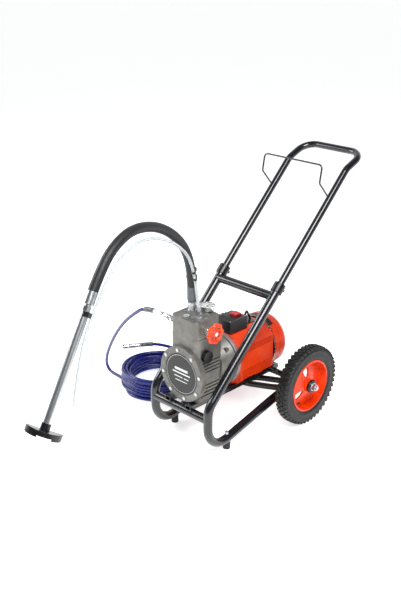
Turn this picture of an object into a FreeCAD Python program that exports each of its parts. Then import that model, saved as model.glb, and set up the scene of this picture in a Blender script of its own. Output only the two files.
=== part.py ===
import FreeCAD, Part
import math
import os
import re
import Sketcher

os.makedirs("parts", exist_ok=True)
Vector = FreeCAD.Vector
doc = FreeCAD.newDocument("AirlessSprayer")

# ---------------------------------------------------------------- driving dimensions, mm and degrees
SIZES = {
    # trolley frame
    "track_width": 260, "tube_diameter": 32, "tube_wall": 2.5, "ground_clearance": 20.5,
    "leg_angle": 44.7, "leg_length": 485, "knee_rise": 40, "knee_radius": 70, "toe_radius": 75,
    "heel_overhang": 24, "upper_bar_drop": 33, "axle_distance": 434, "axle_tube_diameter": 24,
    "axle_diameter": 15, "axle_overhang": 51, "axle_gap": 0.05,
    "rail_width": 25, "rail_height": 17, "rail_wall": 2, "rail_spacing": 99,
    "foot_diameter": 26, "foot_place": 94, "foot_bolt": 8, "bolt_gap": 0.2,
    "collar_diameter": 42, "collar_length": 34, "collar_grip": 16, "slide_gap": 0.05,
    # wheels
    "wheel_radius": 150, "tyre_width": 50, "rim_radius": 98, "rim_width": 42, "hub_radius": 21,
    "hub_inner": 22, "hub_outer": 30, "wheel_offset": 205, "slot_count": 3,
    # handle
    "handle_diameter": 25, "handle_wall": 1.8, "handle_insert": 120, "handle_reach": 506,
    "handle_slope": 22, "handle_run": 108, "handle_bend": 60, "handle_corner": 55,
    "rack_wire": 6, "rack_place": 377, "rack_reach": 52, "rack_rise": 58, "rack_height": 62,
    # motor
    "axis_rise": 95, "motor_radius": 95, "motor_front": 200, "motor_length": 172,
    "stator_radius": 78, "core_radius": 50, "core_length": 110, "air_gap": 0.5,
    "shaft_diameter": 24, "bearing_radius": 26, "bearing_width": 15, "running_gap": 0.05,
    "shield_width": 9, "cover_radius": 98, "cover_wall": 1.6, "cover_length": 70, "fan_radius": 84,
    "eye_wire": 8, "eye_height": 46, "eye_length": 42,
    "switch_width": 74, "switch_length": 88, "switch_height": 46, "lid_height": 13, "box_wall": 3,
    "button_size": 30, "button_travel": 3, "button_gap": 0.3,
    # pump
    "body_width": 130, "body_depth": 126, "body_front": 14, "body_height": 232, "corner_radius": 20,
    "flange_radius": 98, "flange_width": 12, "cover_plate_radius": 100, "cover_plate_width": 12,
    "label_radius": 75.5, "label_depth": 1.5, "crank_radius": 52, "cover_bolt_circle": 88,
    "fin_depth": 8, "fin_width": 5, "fin_pitch": 12.5,
    "head_width": 125, "head_depth": 118, "head_height": 65, "head_bolt_circle": 50,
    "diaphragm_radius": 42, "diaphragm_thickness": 2.5, "piston_radius": 17, "piston_length": 58,
    "eccentric_throw": 4, "cam_gap": 1, "plug_radius": 9, "plug_reach": 20, "gauge_radius": 28, "gauge_depth": 15,
    "knob_radius": 38, "knob_width": 18, "knob_reach": 34, "cap_radius": 21.5, "cap_height": 15,
    # suction set
    "suction_hose_diameter": 32, "suction_azimuth": -10, "stem_radius": 12.5, "stem_height": 100,
    "pipe_tilt": 33.9, "pipe_drop": 434, "pipe_diameter": 24, "pipe_wall": 1.5, "ferrule_radius": 16.3,
    "ferrule_length": 39, "swivel_length": 21, "swivel_radius": 13, "clip_length": 15, "clip_reach": 22,
    "strainer_radius": 54.5, "strainer_rim": 14, "strainer_foot": 6, "strainer_collar": 22,
    "strainer_curve": 320, "strainer_wall": 4.5,
    "return_diameter": 10,
    # paint hose and mains cable
    "hose_diameter": 12.5, "guard_diameter": 18.5, "coupling_radius": 10, "coupling_length": 78,
    "coil_outer": 150, "coil_inner": 106, "coil_height": 92,
    "cable_diameter": 8.5, "hank_radius": 12.5, "hank_length": 130, "hank_width": 90,
    "plug_diameter": 30, "plug_length": 46,
}
sheet = doc.addObject("Spreadsheet::Sheet", "Sizes")
for row, (name, value) in enumerate(SIZES.items(), 1):
    sheet.set("A%d" % row, name)
    sheet.set("B%d" % row, str(value))
    sheet.setAlias("B%d" % row, name)
doc.recompute()
size = {name: float(sheet.get(name)) for name in SIZES}

# ---------------------------------------------------------------- places worked out from the sizes
half_track = size["track_width"] / 2
tube = size["tube_diameter"] / 2
leg = math.radians(size["leg_angle"])
axle_z = size["wheel_radius"]
axle_y = size["axle_distance"]
axle_tube = size["axle_tube_diameter"] / 2
deck_bottom = axle_z + axle_tube
deck_top = deck_bottom + size["rail_height"]
crossbar_z = deck_bottom - tube
knee_z = crossbar_z + size["knee_rise"]
toe_z = size["ground_clearance"] + tube + size["toe_radius"]
axis_z = deck_top + size["axis_rise"]
body_top = deck_top + size["body_height"]
head_top = body_top + size["head_height"]
body_front = size["body_front"]
body_back = body_front + size["body_depth"]
head_y = body_front + size["head_depth"] / 2
collar_y = size["leg_length"] * math.cos(leg)
collar_z = knee_z + size["leg_length"] * math.sin(leg)
bend_y = collar_y + size["handle_reach"] * math.cos(leg)
bend_z = collar_z + size["handle_reach"] * math.sin(leg)
slope = math.radians(size["handle_slope"])
grip_y = bend_y + size["handle_run"] * math.cos(slope)
grip_z = bend_z + size["handle_run"] * math.sin(slope)
front_y = -tube
back_y = grip_y + size["handle_diameter"] / 2
middle_y = (front_y + back_y) / 2

# the base tube runs straight from the toe bend to just under the axle tube
toe_to_axle = math.hypot(axle_y - size["toe_radius"], axle_z - toe_z)
base_slope = math.atan2(axle_z - toe_z, axle_y - size["toe_radius"])
base_slope += math.asin((size["toe_radius"] - tube - axle_tube) / toe_to_axle)
heel_y = axle_y + (tube + axle_tube) * math.sin(base_slope) + size["heel_overhang"] * math.cos(base_slope)
heel_z = axle_z - (tube + axle_tube) * math.cos(base_slope) + size["heel_overhang"] * math.sin(base_slope)
toe_corner_z = heel_z - heel_y * math.tan(base_slope)


def at(x, y, z):
    """A point of the trolley, moved so that the origin is under the middle of its length."""
    return Vector(x, y - middle_y, z)


# ---------------------------------------------------------------- building blocks
ALIAS = re.compile(r"[a-z]+(?:_[a-z]+)+")
NODES = []
AXES = {"x": Vector(1, 0, 0), "y": Vector(0, 1, 0), "z": Vector(0, 0, 1)}


def bound(text):
    return ALIAS.sub(lambda word: "Sizes." + word.group(0), str(text))


def turned(axis):
    direction = AXES[axis] if isinstance(axis, str) else axis
    return FreeCAD.Rotation(Vector(0, 0, 1), direction)


def box(length, width, height, corner, name="Block"):
    block = doc.addObject("Part::Box", name)
    for side, text in (("Length", length), ("Width", width), ("Height", height)):
        block.setExpression(side, bound(text))
    block.Placement.Base = corner
    return block


def rod(radius, height, start, axis="z", name="Rod"):
    cylinder = doc.addObject("Part::Cylinder", name)
    cylinder.setExpression("Radius", bound(radius))
    cylinder.setExpression("Height", bound(height))
    cylinder.Placement = FreeCAD.Placement(start, turned(axis))
    return cylinder


def cone(radius_a, radius_b, height, start, axis="z", name="Cone"):
    taper = doc.addObject("Part::Cone", name)
    taper.setExpression("Radius1", bound(radius_a))
    taper.setExpression("Radius2", bound(radius_b))
    taper.setExpression("Height", bound(height))
    taper.Placement = FreeCAD.Placement(start, turned(axis))
    return taper


def hexagon(radius, height, start, axis="z", name="Hexagon"):
    prism = doc.addObject("Part::Prism", name)
    prism.Polygon = 6
    prism.setExpression("Circumradius", bound(radius))
    prism.setExpression("Height", bound(height))
    prism.Placement = FreeCAD.Placement(start, turned(axis))
    return prism


def fuse(*pieces, name="Joined"):
    if len(pieces) == 1:
        return pieces[0]
    joined = doc.addObject("Part::MultiFuse", name)
    joined.Shapes = list(pieces)
    return joined


def cut(base, *tools, name="Trimmed"):
    trimmed = doc.addObject("Part::Cut", name)
    trimmed.Base = base
    trimmed.Tool = fuse(*tools)
    return trimmed


def common(base, tool, name="Shared"):
    shared = doc.addObject("Part::Common", name)
    shared.Base = base
    shared.Tool = tool
    return shared


def group(*pieces, name="Group"):
    together = doc.addObject("Part::Compound", name)
    together.Links = list(pieces)
    return together


def shaped(shape, name="Shaped", place=Vector(0, 0, 0)):
    feature = doc.addObject("Part::Feature", name)
    feature.Shape = shape
    feature.Placement = FreeCAD.Placement(place, FreeCAD.Rotation())
    return feature


def node(label, piece):
    piece.Label = label
    NODES.append(piece)
    return piece


def outline(body, role, corners):
    """A closed sketch on one of the body's origin planes, each corner bound to the sheet."""
    sketch = body.newObject("Sketcher::SketchObject", "Outline")
    plane = next(part for part in body.Origin.OriginFeatures if part.Role == role)
    sketch.AttachmentSupport = [(plane, "")]
    sketch.MapMode = "FlatFace"
    count = len(corners)
    ring = [Vector(60 + 50 * math.cos(2 * math.pi * i / count), 60 + 50 * math.sin(2 * math.pi * i / count), 0)
            for i in range(count)]
    for i in range(count):
        sketch.addGeometry(Part.LineSegment(ring[i], ring[(i + 1) % count]), False)
    for i in range(count):
        sketch.addConstraint(Sketcher.Constraint("Coincident", i, 2, (i + 1) % count, 1))
    for i, (across, along) in enumerate(corners):
        for kind, text in (("DistanceX", across), ("DistanceY", along)):
            index = sketch.addConstraint(Sketcher.Constraint(kind, -1, 1, i, 1, i + 1.0))
            sketch.setExpression("Constraints[%d]" % index, bound(text))
    return sketch


def turned_body(corners, start, axis="z", name="Turned"):
    """A revolved body: each corner is (radius, height) along its own axis."""
    body = doc.addObject("PartDesign::Body", name)
    sketch = outline(body, "XZ_Plane", corners)
    turn = body.newObject("PartDesign::Revolution", "Turn")
    turn.Profile = sketch
    turn.ReferenceAxis = (sketch, ["V_Axis"])
    turn.Angle = 360
    sketch.Visibility = False
    body.Placement = FreeCAD.Placement(start, turned(axis))
    return body


def padded_body(corners, length, start, rotation=None, name="Padded"):
    """A flat outline on the body's XY plane, padded along its own Z."""
    body = doc.addObject("PartDesign::Body", name)
    sketch = outline(body, "XY_Plane", corners)
    pad = body.newObject("PartDesign::Pad", "Pad")
    pad.Profile = sketch
    pad.setExpression("Length", bound(length))
    sketch.Visibility = False
    body.Placement = FreeCAD.Placement(start, rotation or FreeCAD.Rotation())
    return body


def rounded_block(width, depth, height, radius, corner):
    """A box with its four upright edges rounded."""
    block = box(width, depth, height, corner)
    doc.recompute()
    uprights = [i + 1 for i, edge in enumerate(block.Shape.Edges)
                if abs(edge.tangentAt(edge.FirstParameter).z) > 0.99]
    rounded = doc.addObject("Part::Fillet", "Rounded")
    rounded.Base = block
    rounded.Edges = [(i, radius, radius) for i in uprights]
    return rounded


def route(points, radii=None):
    """Straight runs joined by tangent arcs; returns the edges and prints the radii of a free cord."""
    edges, used, start = [], [], points[0]
    for i in range(1, len(points) - 1):
        before, here, after = points[i - 1], points[i], points[i + 1]
        arriving, leaving = (here - before).normalize(), (after - here).normalize()
        half_turn = arriving.getAngle(leaving) / 2
        if radii is None:
            radius = 0.45 * min((here - before).Length, (after - here).Length) / math.tan(half_turn)
        else:
            radius = radii[i - 1]
        trim = radius * math.tan(half_turn)
        entry, leave = here - arriving * trim, here + leaving * trim
        bisector = (leaving - arriving).normalize()
        centre = here + bisector * (radius / math.cos(half_turn))
        summit = centre - bisector * radius
        edges.append(Part.LineSegment(start, entry).toShape())
        edges.append(Part.Arc(entry, summit, leave).toShape())
        used.append(radius)
        start = leave
    edges.append(Part.LineSegment(start, points[-1]).toShape())
    return edges, used


def sweep(edges, radius):
    path = Part.Wire(edges)
    start = edges[0].Vertexes[0].Point
    direction = edges[0].tangentAt(edges[0].FirstParameter)
    ring = Part.Wire(Part.makeCircle(radius, start, direction))
    return path.makePipeShell([ring], True, False)


def bent_tube(points, radii, radius, wall=0):
    edges, _ = route(points, radii)
    outside = sweep(edges, radius)
    return outside.cut(sweep(edges, radius - wall)) if wall else outside


def cord(label, points, diameter):
    edges, radii = route(points)
    solid = sweep(edges, diameter / 2)
    length = sum(edge.Length for edge in edges)
    section = math.pi * diameter ** 2 / 4
    print("%s: length %.0f, radii %s, volume ratio %.4f" %
          (label, length, [round(radius) for radius in radii], solid.Volume / (section * length)))
    return node(label, shaped(solid, "Cord"))


def mirrored_pair(make):
    return [make(side) for side in (-1, 1)]


# ---------------------------------------------------------------- trolley frame
def side_points(side):
    x = side * half_track
    return [at(x, collar_y, collar_z), at(x, 0, knee_z), at(x, 0, toe_corner_z), at(x, heel_y, heel_z)]


def foot_bottom_z():
    return toe_corner_z + size["foot_place"] * math.tan(base_slope)


side_edges = {side: route(side_points(side), [size["knee_radius"], size["toe_radius"]])[0] for side in (-1, 1)}
side_outside = {side: sweep(side_edges[side], tube) for side in (-1, 1)}


def side_tube(side, label):
    hollow = side_outside[side].cut(sweep(side_edges[side], tube - size["tube_wall"]))
    hole = rod("foot_bolt / 2 + bolt_gap", "tube_diameter * 3",
               at(side * half_track, size["foot_place"], foot_bottom_z() - size["tube_diameter"] * 1.5))
    return node(label, cut(shaped(hollow, "BentTube"), hole))


def crossbar(label, y, z):
    outside = Part.makeCylinder(tube, 2 * half_track, at(-half_track, y, z), AXES["x"])
    inside = Part.makeCylinder(tube - size["tube_wall"], 2 * half_track, at(-half_track, y, z), AXES["x"])
    coped = outside.cut(inside).cut(side_outside[-1]).cut(side_outside[1])
    return node(label, shaped(coped, "Crossbar"))


def deck_rail(side, label):
    left = side * size["rail_spacing"] / 2 - size["rail_width"] / 2
    length = axle_y + axle_tube + tube
    wall = size["rail_wall"]
    outside = box("rail_width", length, "rail_height", at(left, -tube, deck_bottom))
    inside = box("rail_width - 2 * rail_wall", length, "rail_height - 2 * rail_wall",
                 at(left + wall, -tube, deck_bottom + wall))
    return node(label, cut(outside, inside))


side_tube(-1, "side_tube_left")
side_tube(1, "side_tube_right")
crossbar("front_crossbar", 0, crossbar_z)
upper_y = collar_y - size["upper_bar_drop"] * math.cos(leg)
crossbar("upper_crossbar", upper_y, collar_z - size["upper_bar_drop"] * math.sin(leg))
deck_rail(-1, "deck_rail_left")
deck_rail(1, "deck_rail_right")

axle_tube_half = half_track + tube
node("axle_tube", cut(rod("axle_tube_diameter / 2", 2 * axle_tube_half, at(-axle_tube_half, axle_y, axle_z), "x"),
                      rod("axle_diameter / 2", 2 * axle_tube_half, at(-axle_tube_half, axle_y, axle_z), "x")))
axle_half = size["wheel_offset"] + size["axle_overhang"]
node("axle_rod", rod("axle_diameter / 2", 2 * axle_half, at(-axle_half, axle_y, axle_z), "x"))


def rubber_foot(side):
    x, y = side * half_track, size["foot_place"]
    stem = rod("foot_diameter / 2", foot_bottom_z(), at(x, y, 0))
    recess = rod("foot_bolt", 8, at(x, y, 0))
    hole = rod("foot_bolt / 2 + bolt_gap", foot_bottom_z(), at(x, y, 0))
    return cut(stem, shaped(side_outside[side], "Saddle"), recess, hole)


def foot_bolt(side):
    x, y = side * half_track, size["foot_place"]
    top = foot_bottom_z() + tube / math.cos(base_slope)
    head = rod("foot_bolt - 0.5", 6, at(x, y, 2))
    shank = rod("foot_bolt / 2", top + 10, at(x, y, 2))
    nut = hexagon("foot_bolt * 0.9", 7, at(x, y, top + 2))
    return fuse(head, shank, nut)


node("rubber_feet", group(*mirrored_pair(rubber_foot)))
node("foot_bolts", group(*mirrored_pair(foot_bolt)))

leg_axis = Vector(0, math.cos(leg), math.sin(leg))


def clamp_collar(side):
    low = at(side * half_track, collar_y, collar_z) - leg_axis * size["collar_grip"]
    across = Vector(0, math.sin(leg), -math.cos(leg))
    ring = rod("collar_diameter / 2", "collar_length", low, leg_axis)
    lug = rod(6, 12 + size["collar_diameter"] / 2, low + leg_axis * (size["collar_length"] - 9), across)
    grip = rod("tube_diameter / 2", "collar_grip", low, leg_axis)
    bore = rod("handle_diameter / 2 + slide_gap", "collar_length", low, leg_axis)
    return cut(fuse(ring, lug), grip, bore)


node("clamp_collars", group(*mirrored_pair(clamp_collar)))


# ---------------------------------------------------------------- wheels
def tyre(side, label):
    half = "tyre_width / 2"
    corners = [
        ("rim_radius", "-" + half + " + 6"), ("rim_radius + 10", "-" + half + " + 1"),
        ("rim_radius + 24", "-" + half), ("wheel_radius - 9", "-" + half + " + 5"),
        ("wheel_radius", "-" + half + " + 16"), ("wheel_radius", half + " - 16"),
        ("wheel_radius - 9", half + " - 5"), ("rim_radius + 24", half),
        ("rim_radius + 10", half + " - 1"), ("rim_radius", half + " - 6"),
        ("rim_radius", half + " - 11"), ("rim_radius + 12", half + " - 6"),
        ("wheel_radius - 16", half + " - 10"), ("wheel_radius - 10", "0 * rim_radius"),
        ("wheel_radius - 16", "-" + half + " + 10"), ("rim_radius + 12", "-" + half + " + 6"),
        ("rim_radius", "-" + half + " + 11"),
    ]
    return node(label, turned_body(corners, at(side * size["wheel_offset"], axle_y, axle_z), "x"))


def rim(side, label):
    """The outer face looks away from the trolley, so the profile is turned end for end on the left."""
    axis = Vector(side, 0, 0)
    corners = [
        ("axle_diameter / 2 + axle_gap", "-hub_inner"), ("hub_radius", "-hub_inner"),
        ("hub_radius", "-2 * axle_gap"), ("rim_radius - 26", "-rim_width / 2 + 10"),
        ("rim_radius - 9", "-rim_width / 2 + 6"), ("rim_radius - 9", "-rim_width / 2"),
        ("rim_radius", "-rim_width / 2"), ("rim_radius", "rim_width / 2"),
        ("rim_radius - 7", "rim_width / 2 + 2"), ("rim_radius - 9", "-rim_width / 2 + 12"),
        ("rim_radius - 26", "-rim_width / 2 + 16"), ("hub_radius + 4", "axle_gap + 8"),
        ("hub_radius", "hub_outer"), ("axle_diameter / 2 + axle_gap", "hub_outer"),
    ]
    wheel = turned_body(corners, at(side * size["wheel_offset"], axle_y, axle_z), axis)
    slots = []
    middle = (size["hub_radius"] + size["rim_radius"]) / 2 - 3
    for i in range(int(size["slot_count"])):
        angle = math.radians(96 + 360 * i / size["slot_count"])
        along = Vector(0, math.cos(angle), math.sin(angle))
        across = Vector(0, -math.sin(angle), math.cos(angle))
        centre = at(side * size["wheel_offset"] - 40, axle_y, axle_z) + along * middle
        leaf = [rod("rim_radius / 3 + 8", 80, centre + across * (offset * (size["rim_radius"] / 3 - 5)), "x")
                for offset in (-1, 1)]
        slots.append(common(leaf[0], leaf[1]))
    return node(label, cut(wheel, *slots))


def axle_nut(side):
    axis = Vector(side, 0, 0)
    face = at(side * (size["wheel_offset"] + size["hub_outer"] + 0.5), axle_y, axle_z)
    washer = cut(rod(15, 2.5, face, axis), rod("axle_diameter / 2", 2.5, face, axis))
    seat = face + axis * 2.5
    nut = cut(hexagon(13, 12, seat, axis), rod("axle_diameter / 2", 12, seat, axis))
    inner = axle_tube_half
    spacer = cut(rod(11, size["wheel_offset"] - size["hub_inner"] - 0.5 - inner, at(side * inner, axle_y, axle_z), axis),
                 rod("axle_diameter / 2", size["wheel_offset"], at(side * inner, axle_y, axle_z), axis))
    return [spacer, washer, nut]


for side, word in ((-1, "left"), (1, "right")):
    tyre(side, "tyre_" + word)
    rim(side, "rim_" + word)
node("axle_nuts", group(*(axle_nut(-1) + axle_nut(1))))


# ---------------------------------------------------------------- handle
def handle_bar():
    foot = [at(0, collar_y, collar_z) - leg_axis * size["handle_insert"], at(0, bend_y, bend_z), at(0, grip_y, grip_z)]
    left = [point + Vector(-half_track, 0, 0) for point in foot]
    right = [point + Vector(half_track, 0, 0) for point in reversed(foot)]
    bend, corner = size["handle_bend"], size["handle_corner"]
    bar = bent_tube(left + right, [bend, corner, corner, bend], size["handle_diameter"] / 2, size["handle_wall"])
    return node("handle_bar", shaped(bar, "HandleBar"))


def wire_rack():
    radius = size["rack_wire"] / 2
    stand_off = size["handle_diameter"] / 2 + radius / 2
    normal = Vector(0, -math.sin(leg), math.cos(leg))
    weld = at(0, collar_y, collar_z) + leg_axis * size["rack_place"] + normal * stand_off
    low = weld + Vector(0, -size["rack_reach"], size["rack_rise"])
    high = low + Vector(0, 11, size["rack_height"])
    left = [point + Vector(-half_track, 0, 0) for point in (weld, low, high)]
    right = [point + Vector(half_track, 0, 0) for point in (high, low, weld)]
    wire = bent_tube(left + right, [12, 14, 14, 12], radius)
    legs = [Part.makeCylinder(size["handle_diameter"] / 2, size["handle_reach"],
                              at(side * half_track, collar_y, collar_z), leg_axis) for side in (-1, 1)]
    for tube_solid in legs:
        wire = wire.cut(tube_solid)
    return node("wire_rack", shaped(wire, "WireRack"))


handle_bar()
wire_rack()


# ---------------------------------------------------------------- motor
motor_front = size["motor_front"]
motor_back = motor_front + size["motor_length"]
shield_back = motor_back + size["shield_width"]
cover_back = shield_back + size["cover_length"]
motor_top = axis_z + size["motor_radius"]
face_back = FreeCAD.Rotation(Vector(1, 0, 0), 90)


def motor_housing():
    """Eight-sided ribbed casting, its outline padded back along the shaft."""
    flat, side = "motor_radius * 0.5", "motor_radius"
    corners = [("-" + flat, "-" + side), (flat, "-" + side), (side, "-motor_radius * 0.68"),
               (side, "motor_radius * 0.62"), (flat, side), ("-" + flat, side),
               ("-" + side, "motor_radius * 0.62"), ("-" + side, "-motor_radius * 0.68")]
    shell = padded_body(corners, "motor_length", at(0, motor_back, axis_z), face_back)
    bore = rod("stator_radius", "motor_length", at(0, motor_front, axis_z), "y")
    grooves = []
    for height in (37, 45, 53, -35, -43, -51, -59):
        for x in (-size["motor_radius"], size["motor_radius"] - size["fin_depth"]):
            grooves.append(box("fin_depth", "motor_length - 16", 3.2, at(x, motor_front + 8, axis_z + height)))
    feet = []
    for side_sign in (-1, 1):
        for y in (motor_front + 14, motor_back - 54):
            left = side_sign * size["rail_spacing"] / 2 - size["rail_width"] / 2
            feet.append(box("rail_width", 40, 14, at(left, y, deck_top)))
    return node("motor_housing", cut(fuse(shell, *feet), bore, *grooves))


def bell_housing():
    """Cast funnel between the pump body and the motor, with four bolting bosses."""
    depth = motor_front - body_back
    corners = [("bearing_radius + 8", 0), ("body_width / 2 - 4", 0), ("motor_radius - 6", depth - 14),
               ("motor_radius - 1", depth - 12), ("motor_radius - 1", depth), ("stator_radius", depth),
               ("body_width / 2 - 12", 12), ("bearing_radius + 8", 12)]
    funnel = turned_body([(a, str(b)) for a, b in corners], at(0, body_back, axis_z), "y")
    bosses = []
    for degrees in (45, 135, 225, 315):
        x, z = 74 * math.cos(math.radians(degrees)), 74 * math.sin(math.radians(degrees))
        bosses.append(rod(9, depth - 22, at(x, body_back + 22, axis_z + z), "y"))
    cavity = cone("body_width / 2 - 12", "stator_radius", depth - 12, at(0, body_back + 12, axis_z), "y")
    return node("bell_housing", cut(fuse(funnel, *bosses), cavity))


core_front = motor_front + 22


def stator():
    ring = rod("stator_radius", "core_length", at(0, core_front, axis_z), "y")
    bore = rod("core_radius", "core_length", at(0, core_front, axis_z), "y")
    return node("stator", cut(ring, bore))


def rotor_core():
    core = rod("core_radius - air_gap", "core_length", at(0, core_front, axis_z), "y")
    bore = rod("shaft_diameter / 2", "core_length", at(0, core_front, axis_z), "y")
    return node("rotor_core", cut(core, bore))


journal_front = head_y - 14
fan_front = shield_back + 8


def drive_shaft():
    """Motor shaft with its eccentric journal in the crank chamber and the fan at its tail."""
    start = journal_front - 4
    shaft = rod("shaft_diameter / 2", fan_front + 24 - start, at(0, start, axis_z), "y")
    journal = rod("shaft_diameter / 2 + eccentric_throw + 3", 28,
                  at(0, journal_front, axis_z + size["eccentric_throw"]), "y")
    return node("drive_shaft", fuse(shaft, journal))


def shaft_bearing(y):
    ring = rod("bearing_radius", "bearing_width", at(0, y, axis_z), "y")
    bore = rod("shaft_diameter / 2 + running_gap", "bearing_width", at(0, y, axis_z), "y")
    return cut(ring, bore)


def rear_shield():
    disc = rod("motor_radius - 5", "shield_width", at(0, motor_back, axis_z), "y")
    seat = rod("bearing_radius + 6", 14, at(0, motor_back - 6, axis_z), "y")
    spigot = rod("cover_radius - cover_wall", 5, at(0, shield_back, axis_z), "y")
    pocket = rod("bearing_radius", 20, at(0, motor_back - 6, axis_z), "y")
    return node("rear_shield", cut(fuse(disc, seat, spigot), pocket))


def cooling_fan():
    hub = rod("shaft_diameter / 2 + 8", 22, at(0, fan_front, axis_z), "y")
    plate = rod("fan_radius", 3, at(0, fan_front, axis_z), "y")
    blades = []
    for i in range(8):
        blade = box("fan_radius - 20", 20, 3, Vector(18, 0, -1.5))
        blade.Placement = FreeCAD.Placement(at(0, fan_front, axis_z), FreeCAD.Rotation(Vector(0, 1, 0), 45 * i),
                                            Vector(0, 0, 0)).multiply(FreeCAD.Placement(Vector(18, 0, -1.5),
                                                                                       FreeCAD.Rotation()))
        blades.append(blade)
    bore = rod("shaft_diameter / 2", 24, at(0, fan_front - 1, axis_z), "y")
    return node("cooling_fan", cut(fuse(hub, plate, *blades), bore))


def fan_cover():
    """Thin domed shell over the fan, open where it meets the motor, with a louvred top hump."""
    length, wall = "cover_length", "cover_wall"
    corners = [("cover_radius - cover_wall", "0 * cover_wall"), ("cover_radius", "0 * cover_wall"),
               ("cover_radius", length + " - 16"), ("cover_radius - 6", length + " - 4"),
               ("cover_radius - 18", length), ("12 + 0 * cover_wall", length),
               ("12 + 0 * cover_wall", length + " - " + wall), ("cover_radius - 18", length + " - " + wall),
               ("cover_radius - 7.5", length + " - 5.5"), ("cover_radius - cover_wall", length + " - 16.5")]
    return node("fan_cover", turned_body(corners, at(0, shield_back, axis_z), "y"))


def lifting_eye():
    """A bent wire triangle standing on a strap over the motor."""
    radius, half = size["eye_wire"] / 2, size["eye_length"] / 2
    y = motor_back - 16 - half
    base = box(44, "eye_length + 8", 3, at(-22, y - half - 4, motor_top))
    points = [at(0, y - half + 4, motor_top + 3), at(0, y - 5, motor_top + size["eye_height"]),
              at(0, y + half - 4, motor_top + 3)]
    loop = bent_tube(points, [5], radius)
    return node("lifting_eye", fuse(base, shaped(loop, "EyeLoop")))


switch_x, switch_y = 5, motor_front + 45


def switch_box():
    left, front = switch_x - size["switch_width"] / 2, switch_y - size["switch_length"] / 2
    wall, tall = size["box_wall"], size["switch_height"] - size["lid_height"]
    outside = box("switch_width", "switch_length", tall, at(left, front, motor_top))
    inside = box("switch_width - 2 * box_wall", "switch_length - 2 * box_wall", tall,
                 at(left + wall, front + wall, motor_top + wall))
    gland = rod("cable_diameter / 2 + 4", 14, at(left - 14, switch_y, motor_top + 16), "x")
    bore = rod("cable_diameter / 2", 16, at(left - 14, switch_y, motor_top + 16), "x")
    return node("switch_box", cut(fuse(outside, gland), inside, bore))


button_y = switch_y + 22
lid_z = motor_top + size["switch_height"] - size["lid_height"]


def switch_lid():
    left, front = switch_x - size["switch_width"] / 2, switch_y - size["switch_length"] / 2
    lid = box("switch_width", "switch_length", "lid_height", at(left, front, lid_z))
    gap = size["button_gap"]
    half = size["button_size"] / 2 + gap
    window = box("button_size + 2 * button_gap", "button_size + 2 * button_gap", "lid_height",
                 at(switch_x - half, button_y - half, lid_z))
    return node("switch_lid", cut(lid, window))


def switch_button():
    half = size["button_size"] / 2
    block = box("button_size", "button_size", "lid_height + 7", at(switch_x - half, button_y - half, lid_z))
    return node("switch_button", block)


motor_housing()
bell_housing()
stator()
rotor_core()
drive_shaft()
rear_shield()
node("shaft_bearings", group(shaft_bearing(body_back - size["bearing_width"]), shaft_bearing(motor_back - 6)))
cooling_fan()
fan_cover()
lifting_eye()
switch_box()
switch_lid()
switch_button()


# ---------------------------------------------------------------- pump
relief_y, relief_z = head_y - 16, head_top - 34
outlet_y, outlet_z = body_front + 14, head_top - 23
stem_x, stem_y = -12, head_y - 5
barb_x, barb_y = 16, head_y - 1
plug_places = [(-4, body_front + 20), (39, body_front + 35)]
gauge_y = body_front + size["head_depth"] - 3
cap_y, cap_z = body_front + 40, axis_z + 73
guide_bottom = axis_z + size["crank_radius"] + 18
piston_z = axis_z + size["shaft_diameter"] / 2 + 2 * size["eccentric_throw"] + 3 + size["cam_gap"]


def pump_body():
    width, depth = size["body_width"], size["body_depth"]
    block = rounded_block("body_width", "body_depth", "body_height", size["corner_radius"],
                          at(-width / 2, body_front, deck_top))
    flange = rod("flange_radius", "flange_width", at(0, body_front, axis_z), "y")
    crank = rod("crank_radius", "body_depth - bearing_width", at(0, body_front, axis_z), "y")
    seat = rod("bearing_radius", "bearing_width", at(0, body_back - size["bearing_width"], axis_z), "y")
    spring_well = rod("piston_radius + 7", 44, at(0, head_y, guide_bottom - 44))
    guide = rod("piston_radius + running_gap", body_top - guide_bottom, at(0, head_y, guide_bottom))
    recess = rod("diaphragm_radius", "diaphragm_thickness",
                 at(0, head_y, body_top - size["diaphragm_thickness"]))
    filler = rod(10, 30, at(width / 2 - 30, cap_y, cap_z), "x")
    grooves = []
    for start in (axis_z + 44, axis_z - 42):
        for i in range(4):
            z = start - i * size["fin_pitch"]
            for x in (-width / 2, width / 2 - size["fin_depth"]):
                grooves.append(box("fin_depth", "body_depth - flange_width - 22", "fin_width",
                                   at(x, body_front + size["flange_width"] + 6, z)))
    return node("pump_body", cut(fuse(block, flange), crank, seat, spring_well, guide, recess, filler, *grooves))


def front_cover():
    front = body_front - size["cover_plate_width"]
    disc = rod("cover_plate_radius", "cover_plate_width", at(0, front, axis_z), "y")
    recess = rod("label_radius", "label_depth", at(0, front, axis_z), "y")
    return node("front_cover", cut(disc, recess, *cover_screw_tools("4")))


def cover_screw_tools(radius):
    front = body_front - size["cover_plate_width"]
    tools = []
    for i in range(8):
        angle = math.radians(45 * i + 10)
        x, z = size["cover_bolt_circle"] * math.cos(angle), size["cover_bolt_circle"] * math.sin(angle)
        tools.append(rod(radius, "cover_plate_width", at(x, front, axis_z + z), "y"))
    return tools


def cover_screws():
    front = body_front - size["cover_plate_width"]
    screws = []
    for shank in cover_screw_tools("4"):
        place = shank.Placement.Base
        head = rod(6.5, 3, Vector(place.x, front - 3 - middle_y, place.z), "y")
        screws.append(fuse(head, shank))
    return node("cover_screws", group(*screws))


def head_screw_places():
    return [(size["head_bolt_circle"] * math.cos(math.radians(60 * i)),
             head_y + size["head_bolt_circle"] * math.sin(math.radians(60 * i))) for i in range(6)]


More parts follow.
